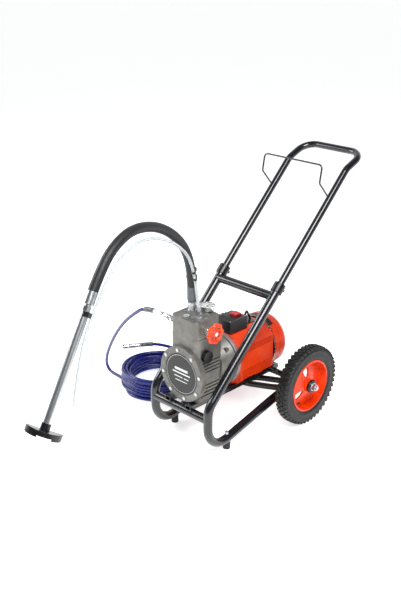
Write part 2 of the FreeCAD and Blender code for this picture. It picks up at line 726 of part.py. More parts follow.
def head_block():
    width = size["head_width"]
    block = rounded_block("head_width", "head_depth", "head_height", size["corner_radius"],
                          at(-width / 2, body_front, body_top))
    lug = rod(17, 40, at(0, gauge_y, head_top - 40))
    tools = [rod("diaphragm_radius - 8", 8, at(0, head_y, body_top))]
    for x, y in plug_places:
        tools.append(rod("plug_radius", "plug_reach + 4", at(x, y, head_top - size["plug_reach"] - 4)))
    tools.append(rod("plug_radius", 26, at(width / 2 - 26, relief_y, relief_z), "x"))
    tools.append(rod("plug_radius - 2", 20, at(-width / 2, outlet_y, outlet_z), "x"))
    tools.append(rod("plug_radius", 14, at(stem_x, stem_y, head_top - 14)))
    tools.append(rod(5, 14, at(barb_x, barb_y, head_top - 14)))
    tools.append(rod(5, 12, at(0, gauge_y, head_top - 12)))
    for x, y in head_screw_places():
        tools.append(rod(4, "head_height", at(x, y, body_top)))
        tools.append(rod(7.5, 9, at(x, y, head_top - 9)))
    return node("head_block", cut(fuse(block, lug), *tools))


def head_screws():
    screws = []
    for x, y in head_screw_places():
        shank = rod(4, "head_height - 9", at(x, y, body_top))
        head = rod(6.5, 8, at(x, y, head_top - 9))
        socket = hexagon(3.4, 5, at(x, y, head_top - 6))
        screws.append(cut(fuse(shank, head), socket))
    return node("head_screws", group(*screws))


def piston():
    foot = rod("piston_radius + 6", 5, at(0, head_y, piston_z))
    stem = rod("piston_radius", "piston_length", at(0, head_y, piston_z))
    return node("piston", fuse(foot, stem))


def piston_spring():
    """Compression spring between the piston's foot and the guide."""
    wire = 1.6
    low, high = piston_z + 5 + wire, guide_bottom - wire
    helix = Part.makeHelix((high - low) / 4, high - low, size["piston_radius"] + 3.6)
    start = Vector(size["piston_radius"] + 3.6, 0, 0)
    ring = Part.Wire(Part.makeCircle(wire, start, Vector(0, 1, 0)))
    coil = Part.Wire(helix).makePipeShell([ring], True, True)
    return node("piston_spring", shaped(coil, "Spring", at(0, head_y, low)))


def valve_plug(place):
    x, y = place
    shank = rod("plug_radius", "plug_reach", at(x, y, head_top - size["plug_reach"]))
    return fuse(shank, hexagon("plug_radius + 2.5", 7, at(x, y, head_top)))


def relief_stem():
    face = size["head_width"] / 2
    shank = rod("plug_radius", 24, at(face - 24, relief_y, relief_z), "x")
    nut = hexagon("plug_radius + 5", 14, at(face, relief_y, relief_z), "x")
    neck = rod("plug_radius", "knob_reach - 12", at(face, relief_y, relief_z), "x")
    bore = rod("5 + running_gap", 60, at(face - 16, relief_y, relief_z), "x")
    return node("relief_stem", cut(fuse(shank, nut, neck), bore))


def relief_knob():
    """Eight-lobed handwheel with four windows and its spindle."""
    face = size["head_width"] / 2 + size["knob_reach"]
    corners = [("5 + 0 * knob_width", "-knob_reach - 8"), ("5 + 0 * knob_width", "-6 + 0 * knob_width"),
               ("12 + 0 * knob_width", "-6 + 0 * knob_width"), ("12 + 0 * knob_width", "2 + 0 * knob_width"),
               ("knob_radius - 8", "2 + 0 * knob_width"), ("knob_radius", "5 + 0 * knob_width"),
               ("knob_radius", "knob_width - 3"), ("knob_radius - 8", "knob_width"),
               ("0 * knob_width", "knob_width"), ("0 * knob_width", "-knob_reach - 8")]
    wheel = turned_body(corners, at(face, relief_y, relief_z), "x")
    scallops = []
    for i in range(8):
        angle = math.radians(45 * i + 22.5)
        y, z = (size["knob_radius"] + 3) * math.cos(angle), (size["knob_radius"] + 3) * math.sin(angle)
        scallops.append(rod(7, "knob_width + 4", at(face - 2, relief_y + y, relief_z + z), "x"))
    for i in range(8):
        angle = math.radians(45 * i)
        y, z = (size["knob_radius"] - 15) * math.cos(angle), (size["knob_radius"] - 15) * math.sin(angle)
        scallops.append(rod(4.5, "knob_width + 4", at(face - 2, relief_y + y, relief_z + z), "x"))
    return node("relief_knob", cut(wheel, *scallops))


def gauge_case():
    """Up-facing pressure gauge: stem, cup and bezel in one, the dial floor sunk below the rim."""
    case = rod("gauge_radius", "gauge_depth", at(0, gauge_y, head_top + 2))
    stem = rod(5, 14, at(0, gauge_y, head_top - 12))
    well = rod("gauge_radius - 2.5", 7, at(0, gauge_y, head_top + 2 + size["gauge_depth"] - 7))
    post = rod(1.5, 3, at(0, gauge_y, head_top + 2 + size["gauge_depth"] - 7))
    return node("gauge_case", fuse(cut(fuse(case, stem), well), post))


def gauge_needle():
    z = head_top + 2 + size["gauge_depth"] - 6
    boss = rod(3, 1.6, at(0, gauge_y, z))
    hand = box(2, "gauge_radius - 8", 1, at(-1, gauge_y - 5, z + 0.3))
    bore = rod("1.5 + running_gap", 2, at(0, gauge_y, z - 0.2))
    return node("gauge_needle", cut(fuse(boss, hand), bore))


def oil_cap():
    face = size["body_width"] / 2
    neck = rod(10, 14, at(face - 14, cap_y, cap_z), "x")
    return node("oil_cap", fuse(neck, rod("cap_radius", "cap_height", at(face, cap_y, cap_z), "x")))


def outlet_nipple():
    face = -size["head_width"] / 2
    shank = rod("plug_radius - 2", 18, at(face, outlet_y, outlet_z), "x")
    nut = hexagon("plug_radius + 2", 11, at(face - 11, outlet_y, outlet_z), "x")
    neck = rod("plug_radius - 3", 20, at(face - 20, outlet_y, outlet_z), "x")
    return node("outlet_nipple", fuse(shank, nut, neck))


def return_barb():
    shank = rod(5, 12, at(barb_x, barb_y, head_top - 12))
    nut = hexagon(8, 6, at(barb_x, barb_y, head_top))
    return fuse(shank, nut, rod("return_diameter / 2", 16, at(barb_x, barb_y, head_top)))


pump_body()
front_cover()
cover_screws()
head_block()
head_screws()
node("diaphragm", rod("diaphragm_radius", "diaphragm_thickness", at(0, head_y, body_top - size["diaphragm_thickness"])))
piston()
piston_spring()
node("valve_plugs", group(*[valve_plug(place) for place in plug_places]))
relief_stem()
relief_knob()
gauge_case()
gauge_needle()
oil_cap()
outlet_nipple()


# ---------------------------------------------------------------- suction set
azimuth = math.radians(size["suction_azimuth"])
out_way = Vector(-math.sin(azimuth), -math.cos(azimuth), 0)
side_way = Vector(math.cos(azimuth), -math.sin(azimuth), 0)


def reach(out, z, side=0.0):
    """A point of the suction set: distance out from the stem, height, and offset to its side."""
    return at(stem_x, stem_y, z) + out_way * out + side_way * side


stem_top = head_top + size["stem_height"]
suction_points = [reach(0, stem_top), reach(4, 653), reach(58, 751), reach(168, 829), reach(295, 858),
                  reach(390, 828), reach(449, 776), reach(490, 719)]
tilt = math.radians(size["pipe_tilt"])
pipe_way = out_way * math.sin(tilt) - Vector(0, 0, math.cos(tilt))
plane_way = out_way * math.cos(tilt) + Vector(0, 0, math.sin(tilt))
hose_end = suction_points[-1]
drop_length = size["pipe_drop"]


def down_pipe(distance):
    return hose_end + pipe_way * distance


def suction_fitting():
    nut = hexagon("stem_radius + 5", 15, at(stem_x, stem_y, head_top))
    shank = rod("plug_radius", 14, at(stem_x, stem_y, head_top - 14))
    stem = rod("stem_radius", "stem_height", at(stem_x, stem_y, head_top))
    return node("suction_fitting", group(fuse(nut, shank, stem), return_barb()))


def suction_coupling():
    ferrule = rod("ferrule_radius", "ferrule_length", down_pipe(0), pipe_way)
    neck = rod("swivel_radius - 3.5", "swivel_length", down_pipe(size["ferrule_length"]), pipe_way)
    nut = hexagon("swivel_radius", 15, down_pipe(size["ferrule_length"] + size["swivel_length"] - 15), pipe_way)
    return node("suction_coupling", fuse(ferrule, neck, nut))


pipe_start = size["ferrule_length"] + size["swivel_length"]
cup_top = drop_length - size["strainer_rim"] - size["strainer_foot"]
collar_start = cup_top - size["strainer_collar"]


def suction_pipe():
    length = collar_start + 16 - pipe_start
    outside = rod("pipe_diameter / 2", length, down_pipe(pipe_start), pipe_way)
    return node("suction_pipe", cut(outside, rod("pipe_diameter / 2 - pipe_wall", length, down_pipe(pipe_start), pipe_way)))


facing = math.radians(45)
cup_across = side_way * math.cos(facing) - plane_way * math.sin(facing)
cup_depth = side_way * math.sin(facing) + plane_way * math.cos(facing)


def rocker(inside, outside):
    """Part of a big drum whose axis runs across the cup, so that the cup's rim rises at both ends."""
    middle = down_pipe(cup_top) - pipe_way * size["strainer_curve"] - cup_depth * 80
    return cut(rod("strainer_curve + " + outside, 160, middle, cup_depth),
               rod("strainer_curve + " + inside, 160, middle, cup_depth))


def foot_notch(along, width):
    """A band across the middle of the cup, as wide as the gap between two feet."""
    band = box(160, width, 60, Vector(0, 0, 0))
    lie = FreeCAD.Rotation(along, along.cross(pipe_way), pipe_way * -1)
    band.Placement = FreeCAD.Placement(down_pipe(drop_length + 20), lie).multiply(
        FreeCAD.Placement(Vector(-80, -width / 2, 0), FreeCAD.Rotation()))
    return common(band, rocker("strainer_rim", "strainer_rim + strainer_foot + 1"))


def strainer():
    """Round rocker-shaped cup: a collar on the pipe, a hollow underside and a wall notched into four feet."""
    disc = rod("strainer_radius", 90, down_pipe(cup_top - 40), pipe_way)
    cup = common(disc, rocker("0", "strainer_rim + strainer_foot"))
    collar = rod("pipe_diameter / 2 + 2.5", "strainer_collar + 2", down_pipe(collar_start), pipe_way)
    room = rod("strainer_radius - strainer_wall", 90, down_pipe(cup_top - 40), pipe_way)
    hollow = common(room, rocker("strainer_wall", "strainer_rim + strainer_foot + 1"))
    socket = rod("pipe_diameter / 2", 16, down_pipe(collar_start), pipe_way)
    inlet = rod(8, 40, down_pipe(collar_start + 10), pipe_way)
    return node("strainer", cut(fuse(cup, collar), hollow, socket, inlet,
                                foot_notch(cup_depth, 43), foot_notch(cup_across, 30)))


return_points = [at(barb_x, barb_y, head_top + 16), reach(9, 571, 25), reach(26, 644, 24), reach(53, 702, 24),
                 reach(107, 753, 24), reach(178, 794, 24), reach(255, 819, 24), reach(328, 818, 24),
                 reach(395, 794, 24), reach(443, 759, 24), reach(479, 715, 23), reach(503, 681, 21.8),
                 reach(529, 647, 20), reach(556, 601, 19), reach(578, 544, 18.5), reach(598, 482, 18.5),
                 reach(616, 412, 18.5)]


def strap(height, hose_out, tube_out):
    """A loop around the suction hose and the return tube where they run side by side."""
    hose, tube = reach(hose_out, height), reach(tube_out, height, 24)
    ring = rod("suction_hose_diameter / 2 + 2.5", 9, hose)
    eye = rod("return_diameter / 2 + 2.5", 9, tube)
    web = box((tube - hose).Length, 7, 9, Vector(0, 0, 0))
    turn = FreeCAD.Rotation(Vector(1, 0, 0), tube - hose)
    web.Placement = FreeCAD.Placement(hose, turn).multiply(
        FreeCAD.Placement(Vector(0, -3.5, 0), FreeCAD.Rotation()))
    return cut(fuse(ring, eye, web), shaped(suction_solid, "HoseRoom"), shaped(return_solid, "TubeRoom"))


def pipe_clip():
    """A saddle on one side of the pipe, with a groove for the return tube."""
    saddle = box("clip_reach", "pipe_diameter", "clip_length", Vector(0, 0, 0))
    lie = FreeCAD.Rotation(side_way, plane_way, pipe_way * -1)
    saddle.Placement = FreeCAD.Placement(down_pipe(pipe_start + size["clip_length"] + 1), lie).multiply(
        FreeCAD.Placement(Vector(0, -size["pipe_diameter"] / 2, 0), FreeCAD.Rotation()))
    bore = rod("pipe_diameter / 2", 60, down_pipe(pipe_start), pipe_way)
    return cut(saddle, bore, shaped(return_solid, "TubeRoom"))


suction_solid = sweep(route(suction_points)[0], size["suction_hose_diameter"] / 2)
return_solid = sweep(route(return_points)[0], size["return_diameter"] / 2)
suction_fitting()
cord("suction_hose", suction_points, size["suction_hose_diameter"])
suction_coupling()
suction_pipe()
strainer()
node("hose_clips", group(strap(606, 1.8, 17.5), strap(632, 4.3, 24), pipe_clip()))
cord("return_tube", return_points, size["return_diameter"])


# ---------------------------------------------------------------- paint hose
coil_x, coil_y = -380, 246
hose_start = -size["head_width"] / 2 - 18 - size["coupling_length"]


paint_points = [at(hose_start, outlet_y, outlet_z), at(-212, 27, 449), at(-264, 35, 412), at(-315, 47, 374),
                at(-373, 66, 326), at(-422, 84, 280), at(-466, 101, 235), at(-508, 119, 189), at(-546, 137, 145),
                at(-581, 153, 101), at(-602, 165, 65), at(-620, 179, 30), at(-604, 180, 8), at(-573, 176, 7),
                at(-534, 173, 8), at(-498, 165, 11), at(-466, 149, 13)]
tail_points = [at(-330, 366, 86), at(-378, 372, 99), at(-428, 368, 106), at(-474, 352, 108), at(-512, 328, 108),
               at(-536, 296, 106)]


def guard(points, reverse=False):
    """Coil-spring guard over the first bend of the hose, as a sleeve."""
    run = list(reversed(points)) if reverse else points
    edges, _ = route(run)
    kept = edges[:2]
    return shaped(sweep(kept, size["guard_diameter"] / 2).cut(sweep(kept, size["hose_diameter"] / 2)), "Guard")


def coupling(face, way):
    """Swivel nut and crimped ferrule, from the sealing face towards the hose."""
    nut = cut(hexagon("coupling_radius + 2", 26, face, way), rod("plug_radius - 3", 9, face, way))
    ferrule = rod("coupling_radius", "coupling_length - 26", face + way * 26, way)
    return fuse(nut, ferrule)


cord("paint_hose", paint_points, size["hose_diameter"])
cord("paint_hose_tail", tail_points, size["hose_diameter"])
near_face = paint_points[0] + AXES["x"] * (size["coupling_length"] + 0)
near_way = Vector(-1, 0, 0)
far_way = (tail_points[-2] - tail_points[-1]).normalize()
far_face = tail_points[-1] - far_way * size["coupling_length"]
node("hose_couplings", group(coupling(near_face, near_way), guard(paint_points),
                             coupling(far_face, far_way), guard(tail_points, True)))
node("paint_hose_coil", cut(rod("coil_outer", "coil_height", at(coil_x, coil_y, 0)),
                            rod("coil_inner", "coil_height", at(coil_x, coil_y, 0))))


# ---------------------------------------------------------------- mains cable
gland_x = switch_x - size["switch_width"] / 2 - 14
gland_z = motor_top + 16
hank_way = Vector(math.cos(math.radians(14)), 0, math.sin(math.radians(14)))
hank_middle = at(72, 370, 132)
cable_points = [at(gland_x, switch_y, gland_z), at(-76, 246, 386), at(-98, 254, 366), at(-105, 272, 328),
                at(-106, 296, 280), at(-104, 320, 230), at(-98, 340, 184), at(-84, 356, 147), at(-56, 364, 124),
                at(-22, 371, 108)]


def mains_hank():
    """Outer shape of the bundled loops, a flattened ring."""
    straight, half = size["hank_length"] / 2, size["hank_width"] / 2 - size["hank_radius"]
    across = Vector(0, 1, 0)
    a = hank_middle + hank_way * straight + across * half
    b = hank_middle - hank_way * straight + across * half
    c = hank_middle - hank_way * straight - across * half
    d = hank_middle + hank_way * straight - across * half
    edges = [Part.LineSegment(a, b).toShape(),
             Part.Arc(b, hank_middle - hank_way * (straight + half), c).toShape(),
             Part.LineSegment(c, d).toShape(),
             Part.Arc(d, hank_middle + hank_way * (straight + half), a).toShape()]
    return node("mains_hank", shaped(sweep(edges, size["hank_radius"]), "Hank"))


def mains_plug():
    """Round two-pin plug whose tapered cable entry comes out of the hank."""
    front = at(-28 - size["plug_length"], 345, 98)
    barrel = rod("plug_diameter / 2", "plug_length - 18", front, "x")
    neck = cone("plug_diameter / 2", "cable_diameter / 2 + 2", 18, front + Vector(size["plug_length"] - 18, 0, 0), "x")
    pins = [rod(2.4, 19, front + Vector(-19, offset, 0), "x") for offset in (-9.5, 9.5)]
    return node("mains_plug", fuse(barrel, neck, *pins))


cord("mains_cable", cable_points, size["cable_diameter"])
mains_hank()
mains_plug()

# ---------------------------------------------------------------- check and write
doc.recompute()
for thing in doc.Objects:
    if {"Invalid", "Error"} & set(thing.State):
        raise RuntimeError("failed: %s %s %s" % (thing.Name, thing.Label, thing.State))
for piece in NODES:
    shape = piece.Shape
    if shape.isNull() or not shape.isValid() or not shape.Solids:
        raise RuntimeError("bad shape: " + piece.Label)
for piece in NODES:
    piece.Shape.exportStep("parts/%s.step" % piece.Label)
print("%d nodes, overall %.1f mm long" % (len(NODES), back_y - front_y))
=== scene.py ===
import bmesh
import bpy
import math
import random
from mathutils import Matrix, Vector


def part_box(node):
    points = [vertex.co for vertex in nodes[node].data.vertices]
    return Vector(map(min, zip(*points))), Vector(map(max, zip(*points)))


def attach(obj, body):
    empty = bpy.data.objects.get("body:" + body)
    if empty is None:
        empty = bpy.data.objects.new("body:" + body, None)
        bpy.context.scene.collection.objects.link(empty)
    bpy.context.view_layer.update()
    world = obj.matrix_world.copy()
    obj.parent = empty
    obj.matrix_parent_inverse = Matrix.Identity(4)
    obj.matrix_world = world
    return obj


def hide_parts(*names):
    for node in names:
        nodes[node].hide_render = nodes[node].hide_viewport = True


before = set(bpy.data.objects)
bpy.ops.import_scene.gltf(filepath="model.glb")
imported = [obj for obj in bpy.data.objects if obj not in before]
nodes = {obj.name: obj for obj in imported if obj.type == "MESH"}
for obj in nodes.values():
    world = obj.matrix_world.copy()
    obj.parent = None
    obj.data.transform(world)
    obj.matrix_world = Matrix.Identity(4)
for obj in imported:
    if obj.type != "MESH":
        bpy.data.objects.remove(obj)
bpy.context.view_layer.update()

mm = 0.001
print("frame loaded:", len(nodes), "nodes")


# ---- small helpers ----
def srgb(text):
    parts = [int(text[i:i + 2], 16) / 255 for i in (1, 3, 5)]
    linear = [c / 12.92 if c <= 0.04045 else ((c + 0.055) / 1.055) ** 2.4 for c in parts]
    return (*linear, 1.0)


def addNode(tree, kind, inputs=None, **settings):
    node = tree.nodes.new(kind)
    for key, value in settings.items():
        setattr(node, key, value)
    for key, value in (inputs or {}).items():
        if isinstance(value, bpy.types.NodeSocket):
            tree.links.new(value, node.inputs[key])
        else:
            node.inputs[key].default_value = value
    return node


def startMaterial(name):
    material = bpy.data.materials.new(name)
    material.use_nodes = True
    tree = material.node_tree
    shader = next(n for n in tree.nodes if n.type == "BSDF_PRINCIPLED")
    place = addNode(tree, "ShaderNodeTexCoord").outputs["Object"]
    return material, tree, shader, place


def noiseAt(tree, place, sizeMm, detail=3.0):
    # one noise cell is about sizeMm across
    return addNode(tree, "ShaderNodeTexNoise", {"Vector": place, "Scale": 1000 / sizeMm, "Detail": detail,
                                                "Roughness": 0.55}).outputs["Fac"]


def ramp(tree, value, stops):
    node = addNode(tree, "ShaderNodeValToRGB", {"Fac": value})
    while len(node.color_ramp.elements) < len(stops):
        node.color_ramp.elements.new(0.5)
    for element, (at, colour) in zip(node.color_ramp.elements, stops):
        element.position = at
        element.color = srgb(colour)
    return node.outputs["Color"]


def spread(tree, value, low, high):
    return addNode(tree, "ShaderNodeMapRange", {"Value": value, "From Min": 0.3, "From Max": 0.7,
                                                "To Min": low, "To Max": high}).outputs["Result"]


def bumpFrom(tree, shader, height, depthMm, roundMm=0.0):
    # roundMm softens the hard edges of machined and cast pieces
    inputs = {"Height": height, "Distance": depthMm * mm, "Strength": 1.0}
    if roundMm:
        inputs["Normal"] = addNode(tree, "ShaderNodeBevel", {"Radius": roundMm * mm},
                                   samples=4).outputs["Normal"]
    bump = addNode(tree, "ShaderNodeBump", inputs)
    tree.links.new(bump.outputs["Normal"], shader.inputs["Normal"])


def setShader(shader, **values):
    for key, value in values.items():
        shader.inputs[key.replace("_", " ")].default_value = value


def use(material, *names):
    for name in names:
        slots = nodes[name].material_slots
        for slot in slots:
            slot.material = material
        if not slots:
            nodes[name].data.materials.append(material)


# ---- materials ----
def powderCoat():
    # polyester powder coat on steel tube: deep glossy blue-black with a faint orange peel
    material, tree, shader, place = startMaterial("powderCoatBlack")
    mottle = noiseAt(tree, place, 60)
    tree.links.new(ramp(tree, mottle, [(0.3, "#0A0B10"), (0.7, "#11131A")]), shader.inputs["Base Color"])
    tree.links.new(spread(tree, noiseAt(tree, place, 9), 0.2, 0.27), shader.inputs["Roughness"])
    setShader(shader, Coat_Weight=0.5, Coat_Roughness=0.1)
    bumpFrom(tree, shader, noiseAt(tree, place, 5, 2.0), 0.012)
    return material


def mouldedPlastic(name, dark, light, roughness, grainMm, roundMm=0.8, grainDepth=0.02):
    # injection moulded ABS or PP: even colour, fine spark-eroded grain, soft edges
    material, tree, shader, place = startMaterial(name)
    mottle = noiseAt(tree, place, 25)
    tree.links.new(ramp(tree, mottle, [(0.35, dark), (0.65, light)]), shader.inputs["Base Color"])
    tree.links.new(spread(tree, noiseAt(tree, place, 6), roughness - 0.05, roughness + 0.07),
                   shader.inputs["Roughness"])
    setShader(shader, IOR=1.5)
    bumpFrom(tree, shader, noiseAt(tree, place, grainMm, 2.0), grainDepth, roundMm=roundMm)
    return material


def motorEnamel():
    # stove enamel over cast and pressed metal: glossy orange, slight waviness from the metal below
    material, tree, shader, place = startMaterial("orangeEnamel")
    mottle = noiseAt(tree, place, 45)
    tree.links.new(ramp(tree, mottle, [(0.3, "#D63304"), (0.7, "#E44108")]), shader.inputs["Base Color"])
    tree.links.new(spread(tree, noiseAt(tree, place, 8), 0.26, 0.38), shader.inputs["Roughness"])
    setShader(shader, IOR=1.5, Coat_Weight=0.3, Coat_Roughness=0.12)
    bumpFrom(tree, shader, noiseAt(tree, place, 3.5, 2.0), 0.05, roundMm=1.2)
    return material


def castAluminium(name, dark, middle, pale, metal):
    # shot blasted die casting: dull silver grey, pebbly skin, slightly darker in patches
    material, tree, shader, place = startMaterial(name)
    patches = noiseAt(tree, place, 30, 4.0)
    tree.links.new(ramp(tree, patches, [(0.25, dark), (0.5, middle), (0.75, pale)]),
                   shader.inputs["Base Color"])
    tree.links.new(spread(tree, noiseAt(tree, place, 3), 0.42, 0.58), shader.inputs["Roughness"])
    setShader(shader, Metallic=metal)
    pebbles = addNode(tree, "ShaderNodeTexVoronoi", {"Vector": place, "Scale": 1000 / 1.6}).outputs["Distance"]
    bumpFrom(tree, shader, pebbles, 0.12, roundMm=1.5)
    return material


def platedSteel(name, dark, light, roughness):
    # zinc or nickel plate on turned steel: bright, with fine turning marks and cloudy patches
    material, tree, shader, place = startMaterial(name)
    tree.links.new(ramp(tree, noiseAt(tree, place, 12), [(0.3, dark), (0.7, light)]),
                   shader.inputs["Base Color"])
    tree.links.new(spread(tree, noiseAt(tree, place, 2.5), roughness - 0.06, roughness + 0.08),
                   shader.inputs["Roughness"])
    setShader(shader, Metallic=1.0)
    bumpFrom(tree, shader, noiseAt(tree, place, 0.7, 2.0), 0.015, roundMm=0.4)
    return material


def drawnAluminium():
    # drawn tube: bright, with long fine scratches along its length
    material, tree, shader, place = startMaterial("drawnAluminium")
    along = addNode(tree, "ShaderNodeMapping", {"Vector": place, "Rotation": pipeTurn, "Scale": (1, 1, 0.03)},
                    vector_type="TEXTURE").outputs["Vector"]
    lines = addNode(tree, "ShaderNodeTexNoise", {"Vector": along, "Scale": 900.0, "Detail": 3.0}).outputs["Fac"]
    tree.links.new(ramp(tree, lines, [(0.3, "#A9ABAE"), (0.7, "#D6D8DA")]), shader.inputs["Base Color"])
    tree.links.new(spread(tree, lines, 0.22, 0.38), shader.inputs["Roughness"])
    setShader(shader, Metallic=1.0)
    bumpFrom(tree, shader, lines, 0.02)
    return material


def mouldedRubber(name, dark, light, roughness=0.62, grainMm=1.2):
    # cured rubber: nearly black, dull sheen, fine matt grain and a trace of dust
    material, tree, shader, place = startMaterial(name)
    tree.links.new(ramp(tree, noiseAt(tree, place, 18, 4.0), [(0.3, dark), (0.7, light)]),
                   shader.inputs["Base Color"])
    tree.links.new(spread(tree, noiseAt(tree, place, 5), roughness - 0.08, roughness + 0.1),
                   shader.inputs["Roughness"])
    bumpFrom(tree, shader, noiseAt(tree, place, grainMm, 3.0), 0.05, roundMm=0.6)
    return material


def hoseJacket():
    # extruded nylon jacket: glossy deep blue with faint lengthwise die lines
    material, tree, shader, place = startMaterial("blueHoseJacket")
    tree.links.new(ramp(tree, noiseAt(tree, place, 35), [(0.3, "#0C1560"), (0.7, "#152078")]),
                   shader.inputs["Base Color"])
    tree.links.new(spread(tree, noiseAt(tree, place, 6), 0.2, 0.32), shader.inputs["Roughness"])
    setShader(shader, IOR=1.52)
    bumpFrom(tree, shader, noiseAt(tree, place, 9, 2.0), 0.02)
    return material


def clearTube():
    # soft PVC tube: nearly colourless with a milky edge
    material, tree, shader, place = startMaterial("clearTubeVinyl")
    tree.links.new(ramp(tree, noiseAt(tree, place, 20), [(0.3, "#C9CFD2"), (0.7, "#DDE2E4")]),
                   shader.inputs["Base Color"])
    tree.links.new(spread(tree, noiseAt(tree, place, 8), 0.1, 0.2), shader.inputs["Roughness"])
    setShader(shader, IOR=1.3, Transmission_Weight=0.45)
    bumpFrom(tree, shader, noiseAt(tree, place, 3, 2.0), 0.02)
    return material


def clearGlass():
    # pressed gauge lens: clear with a slight sheen
    material, tree, shader, place = startMaterial("gaugeLens")
    tree.links.new(spread(tree, noiseAt(tree, place, 10), 0.02, 0.06), shader.inputs["Roughness"])
    tree.links.new(ramp(tree, noiseAt(tree, place, 20), [(0.3, "#F6FBFB"), (0.7, "#FFFFFF")]),
                   shader.inputs["Base Color"])
    setShader(shader, IOR=1.45, Transmission_Weight=1.0)
    return material


def printedFoil(name, ground, centre, bars, ringMm):
    # screen printed label: satin black ground, one pale ring and a few plain bars
    material, tree, shader, place = startMaterial(name)
    local = addNode(tree, "ShaderNodeMapping",
                    {"Vector": place, "Location": [-c for c in centre]}).outputs["Vector"]
    axes = addNode(tree, "ShaderNodeSeparateXYZ", {"Vector": local}).outputs
    across, up = axes["X"], axes["Z"]
    reach = addNode(tree, "ShaderNodeVectorMath", {0: local}, operation="LENGTH").outputs["Value"]
    fromRing = addNode(tree, "ShaderNodeMath", {0: reach, 1: ringMm * mm}, operation="SUBTRACT").outputs[0]
    fromRing = addNode(tree, "ShaderNodeMath", {0: fromRing}, operation="ABSOLUTE").outputs[0]
    mask = addNode(tree, "ShaderNodeMath", {0: fromRing, 1: 0.5 * mm}, operation="LESS_THAN").outputs[0]
    for x, z, wide, tall in bars:
        sides = []
        for socket, middle, half in ((across, x, wide / 2), (up, z, tall / 2)):
            off = addNode(tree, "ShaderNodeMath", {0: socket, 1: middle * mm}, operation="SUBTRACT").outputs[0]
            off = addNode(tree, "ShaderNodeMath", {0: off}, operation="ABSOLUTE").outputs[0]
            sides.append(addNode(tree, "ShaderNodeMath", {0: off, 1: half * mm},
                                 operation="LESS_THAN").outputs[0])
        bar = addNode(tree, "ShaderNodeMath", {0: sides[0], 1: sides[1]}, operation="MULTIPLY").outputs[0]
        mask = addNode(tree, "ShaderNodeMath", {0: mask, 1: bar}, operation="MAXIMUM").outputs[0]
    fine = noiseAt(tree, place, 15)
    dull = ramp(tree, fine, [(0.3, ground), (0.7, "#1B1C1E")])
    ink = addNode(tree, "ShaderNodeMixRGB",
                  {"Fac": mask, "Color1": dull, "Color2": srgb("#D9DADB")}).outputs["Color"]
    tree.links.new(ink, shader.inputs["Base Color"])
    tree.links.new(spread(tree, noiseAt(tree, place, 4), 0.35, 0.45), shader.inputs["Roughness"])
    bumpFrom(tree, shader, mask, 0.02)
    return material


pipeLow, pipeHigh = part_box("suction_pipe")
pipeSpan = pipeHigh - pipeLow
pipeTurn = (-math.atan2(pipeSpan.y, pipeSpan.z), math.atan2(pipeSpan.x, pipeSpan.z), 0)

finish = {
    "powder": powderCoat(),
    "orangePlastic": mouldedPlastic("orangeMoulding", "#DE3403", "#EA4306", 0.28, 2.5, 0.8, 0.012),
    "redPlastic": mouldedPlastic("redMoulding", "#9A0A0A", "#B91212", 0.3, 1.2),
    "blackPlastic": mouldedPlastic("blackMoulding", "#08090A", "#101113", 0.3, 1.4, 0.8, 0.012),
    "enamel": motorEnamel(),
    "cast": castAluminium("castAluminium", "#63625F", "#75746F", "#84837E", 0.62),
    "brightCast": castAluminium("machinedFlange", "#A2A4A5", "#B4B5B6", "#C3C4C4", 0.9),
    "zinc": platedSteel("zincPlate", "#A7A9AC", "#C9CBCE", 0.3),
    "chrome": platedSteel("chromePlate", "#D5D7DA", "#E9EAEC", 0.12),
    "darkSteel": platedSteel("machinedSteel", "#6E7074", "#8B8D91", 0.38),
    "greyFerrule": mouldedPlastic("greyFerrule", "#4A4E53", "#575B60", 0.4, 1.5),
    "brass": platedSteel("nickelWashedBrass", "#A9A8A2", "#C6C4BC", 0.24),
    "pipe": drawnAluminium(),
    "tyre": mouldedRubber("tyreRubber", "#0D0E0F", "#17181A", 0.52, 1.6),
    "rubber": mouldedRubber("footRubber", "#121315", "#1C1D1E"),
    "suctionHose": mouldedRubber("hoseCoverRubber", "#101113", "#191A1C", 0.5, 1.4),
    "cable": mouldedRubber("cableSheath", "#121214", "#1E1F21", 0.5),
    "blueHose": hoseJacket(),
    "clearTube": clearTube(),
    "lens": clearGlass(),
}
print("materials ready")

# ---- camera, light and floor ----
view = {"place": (1.93765, -2.26855, 1.66917), "azimuth": 44.61, "elevation": 22.64, "lens": 53.17}
light = {"backdrop": "#FFFFFF", "room": "#6A6C70", "skyPower": 1.0, "keyPower": 120, "fillPower": 55,
         "floor": "#F7F7F6", "sweep": 0.6}


def addCamera():
    camera = bpy.data.objects.new("camera", bpy.data.cameras.new("camera"))
    camera.data.lens = view["lens"]
    camera.data.sensor_width = 36
    azimuth, elevation = math.radians(view["azimuth"]), math.radians(view["elevation"])
    away = Vector((math.sin(azimuth) * math.cos(elevation), -math.cos(azimuth) * math.cos(elevation),
                   math.sin(elevation)))
    camera.location = view["place"]
    camera.rotation_mode = "QUATERNION"
    camera.rotation_quaternion = (-away).to_track_quat("-Z", "Y")
    camera.data.clip_end = 120
    bpy.context.scene.collection.objects.link(camera)
    bpy.context.scene.camera = camera


def addArea(name, place, target, size, power):
    lamp = bpy.data.lights.new(name, "AREA")
    lamp.shape = "RECTANGLE"
    lamp.size, lamp.size_y = size
    lamp.energy = power
    holder = bpy.data.objects.new(name, lamp)
    holder.location = place
    holder.rotation_mode = "QUATERNION"
    holder.rotation_quaternion = (Vector(target) - Vector(place)).to_track_quat("-Z", "Y")
    bpy.context.scene.collection.objects.link(holder)


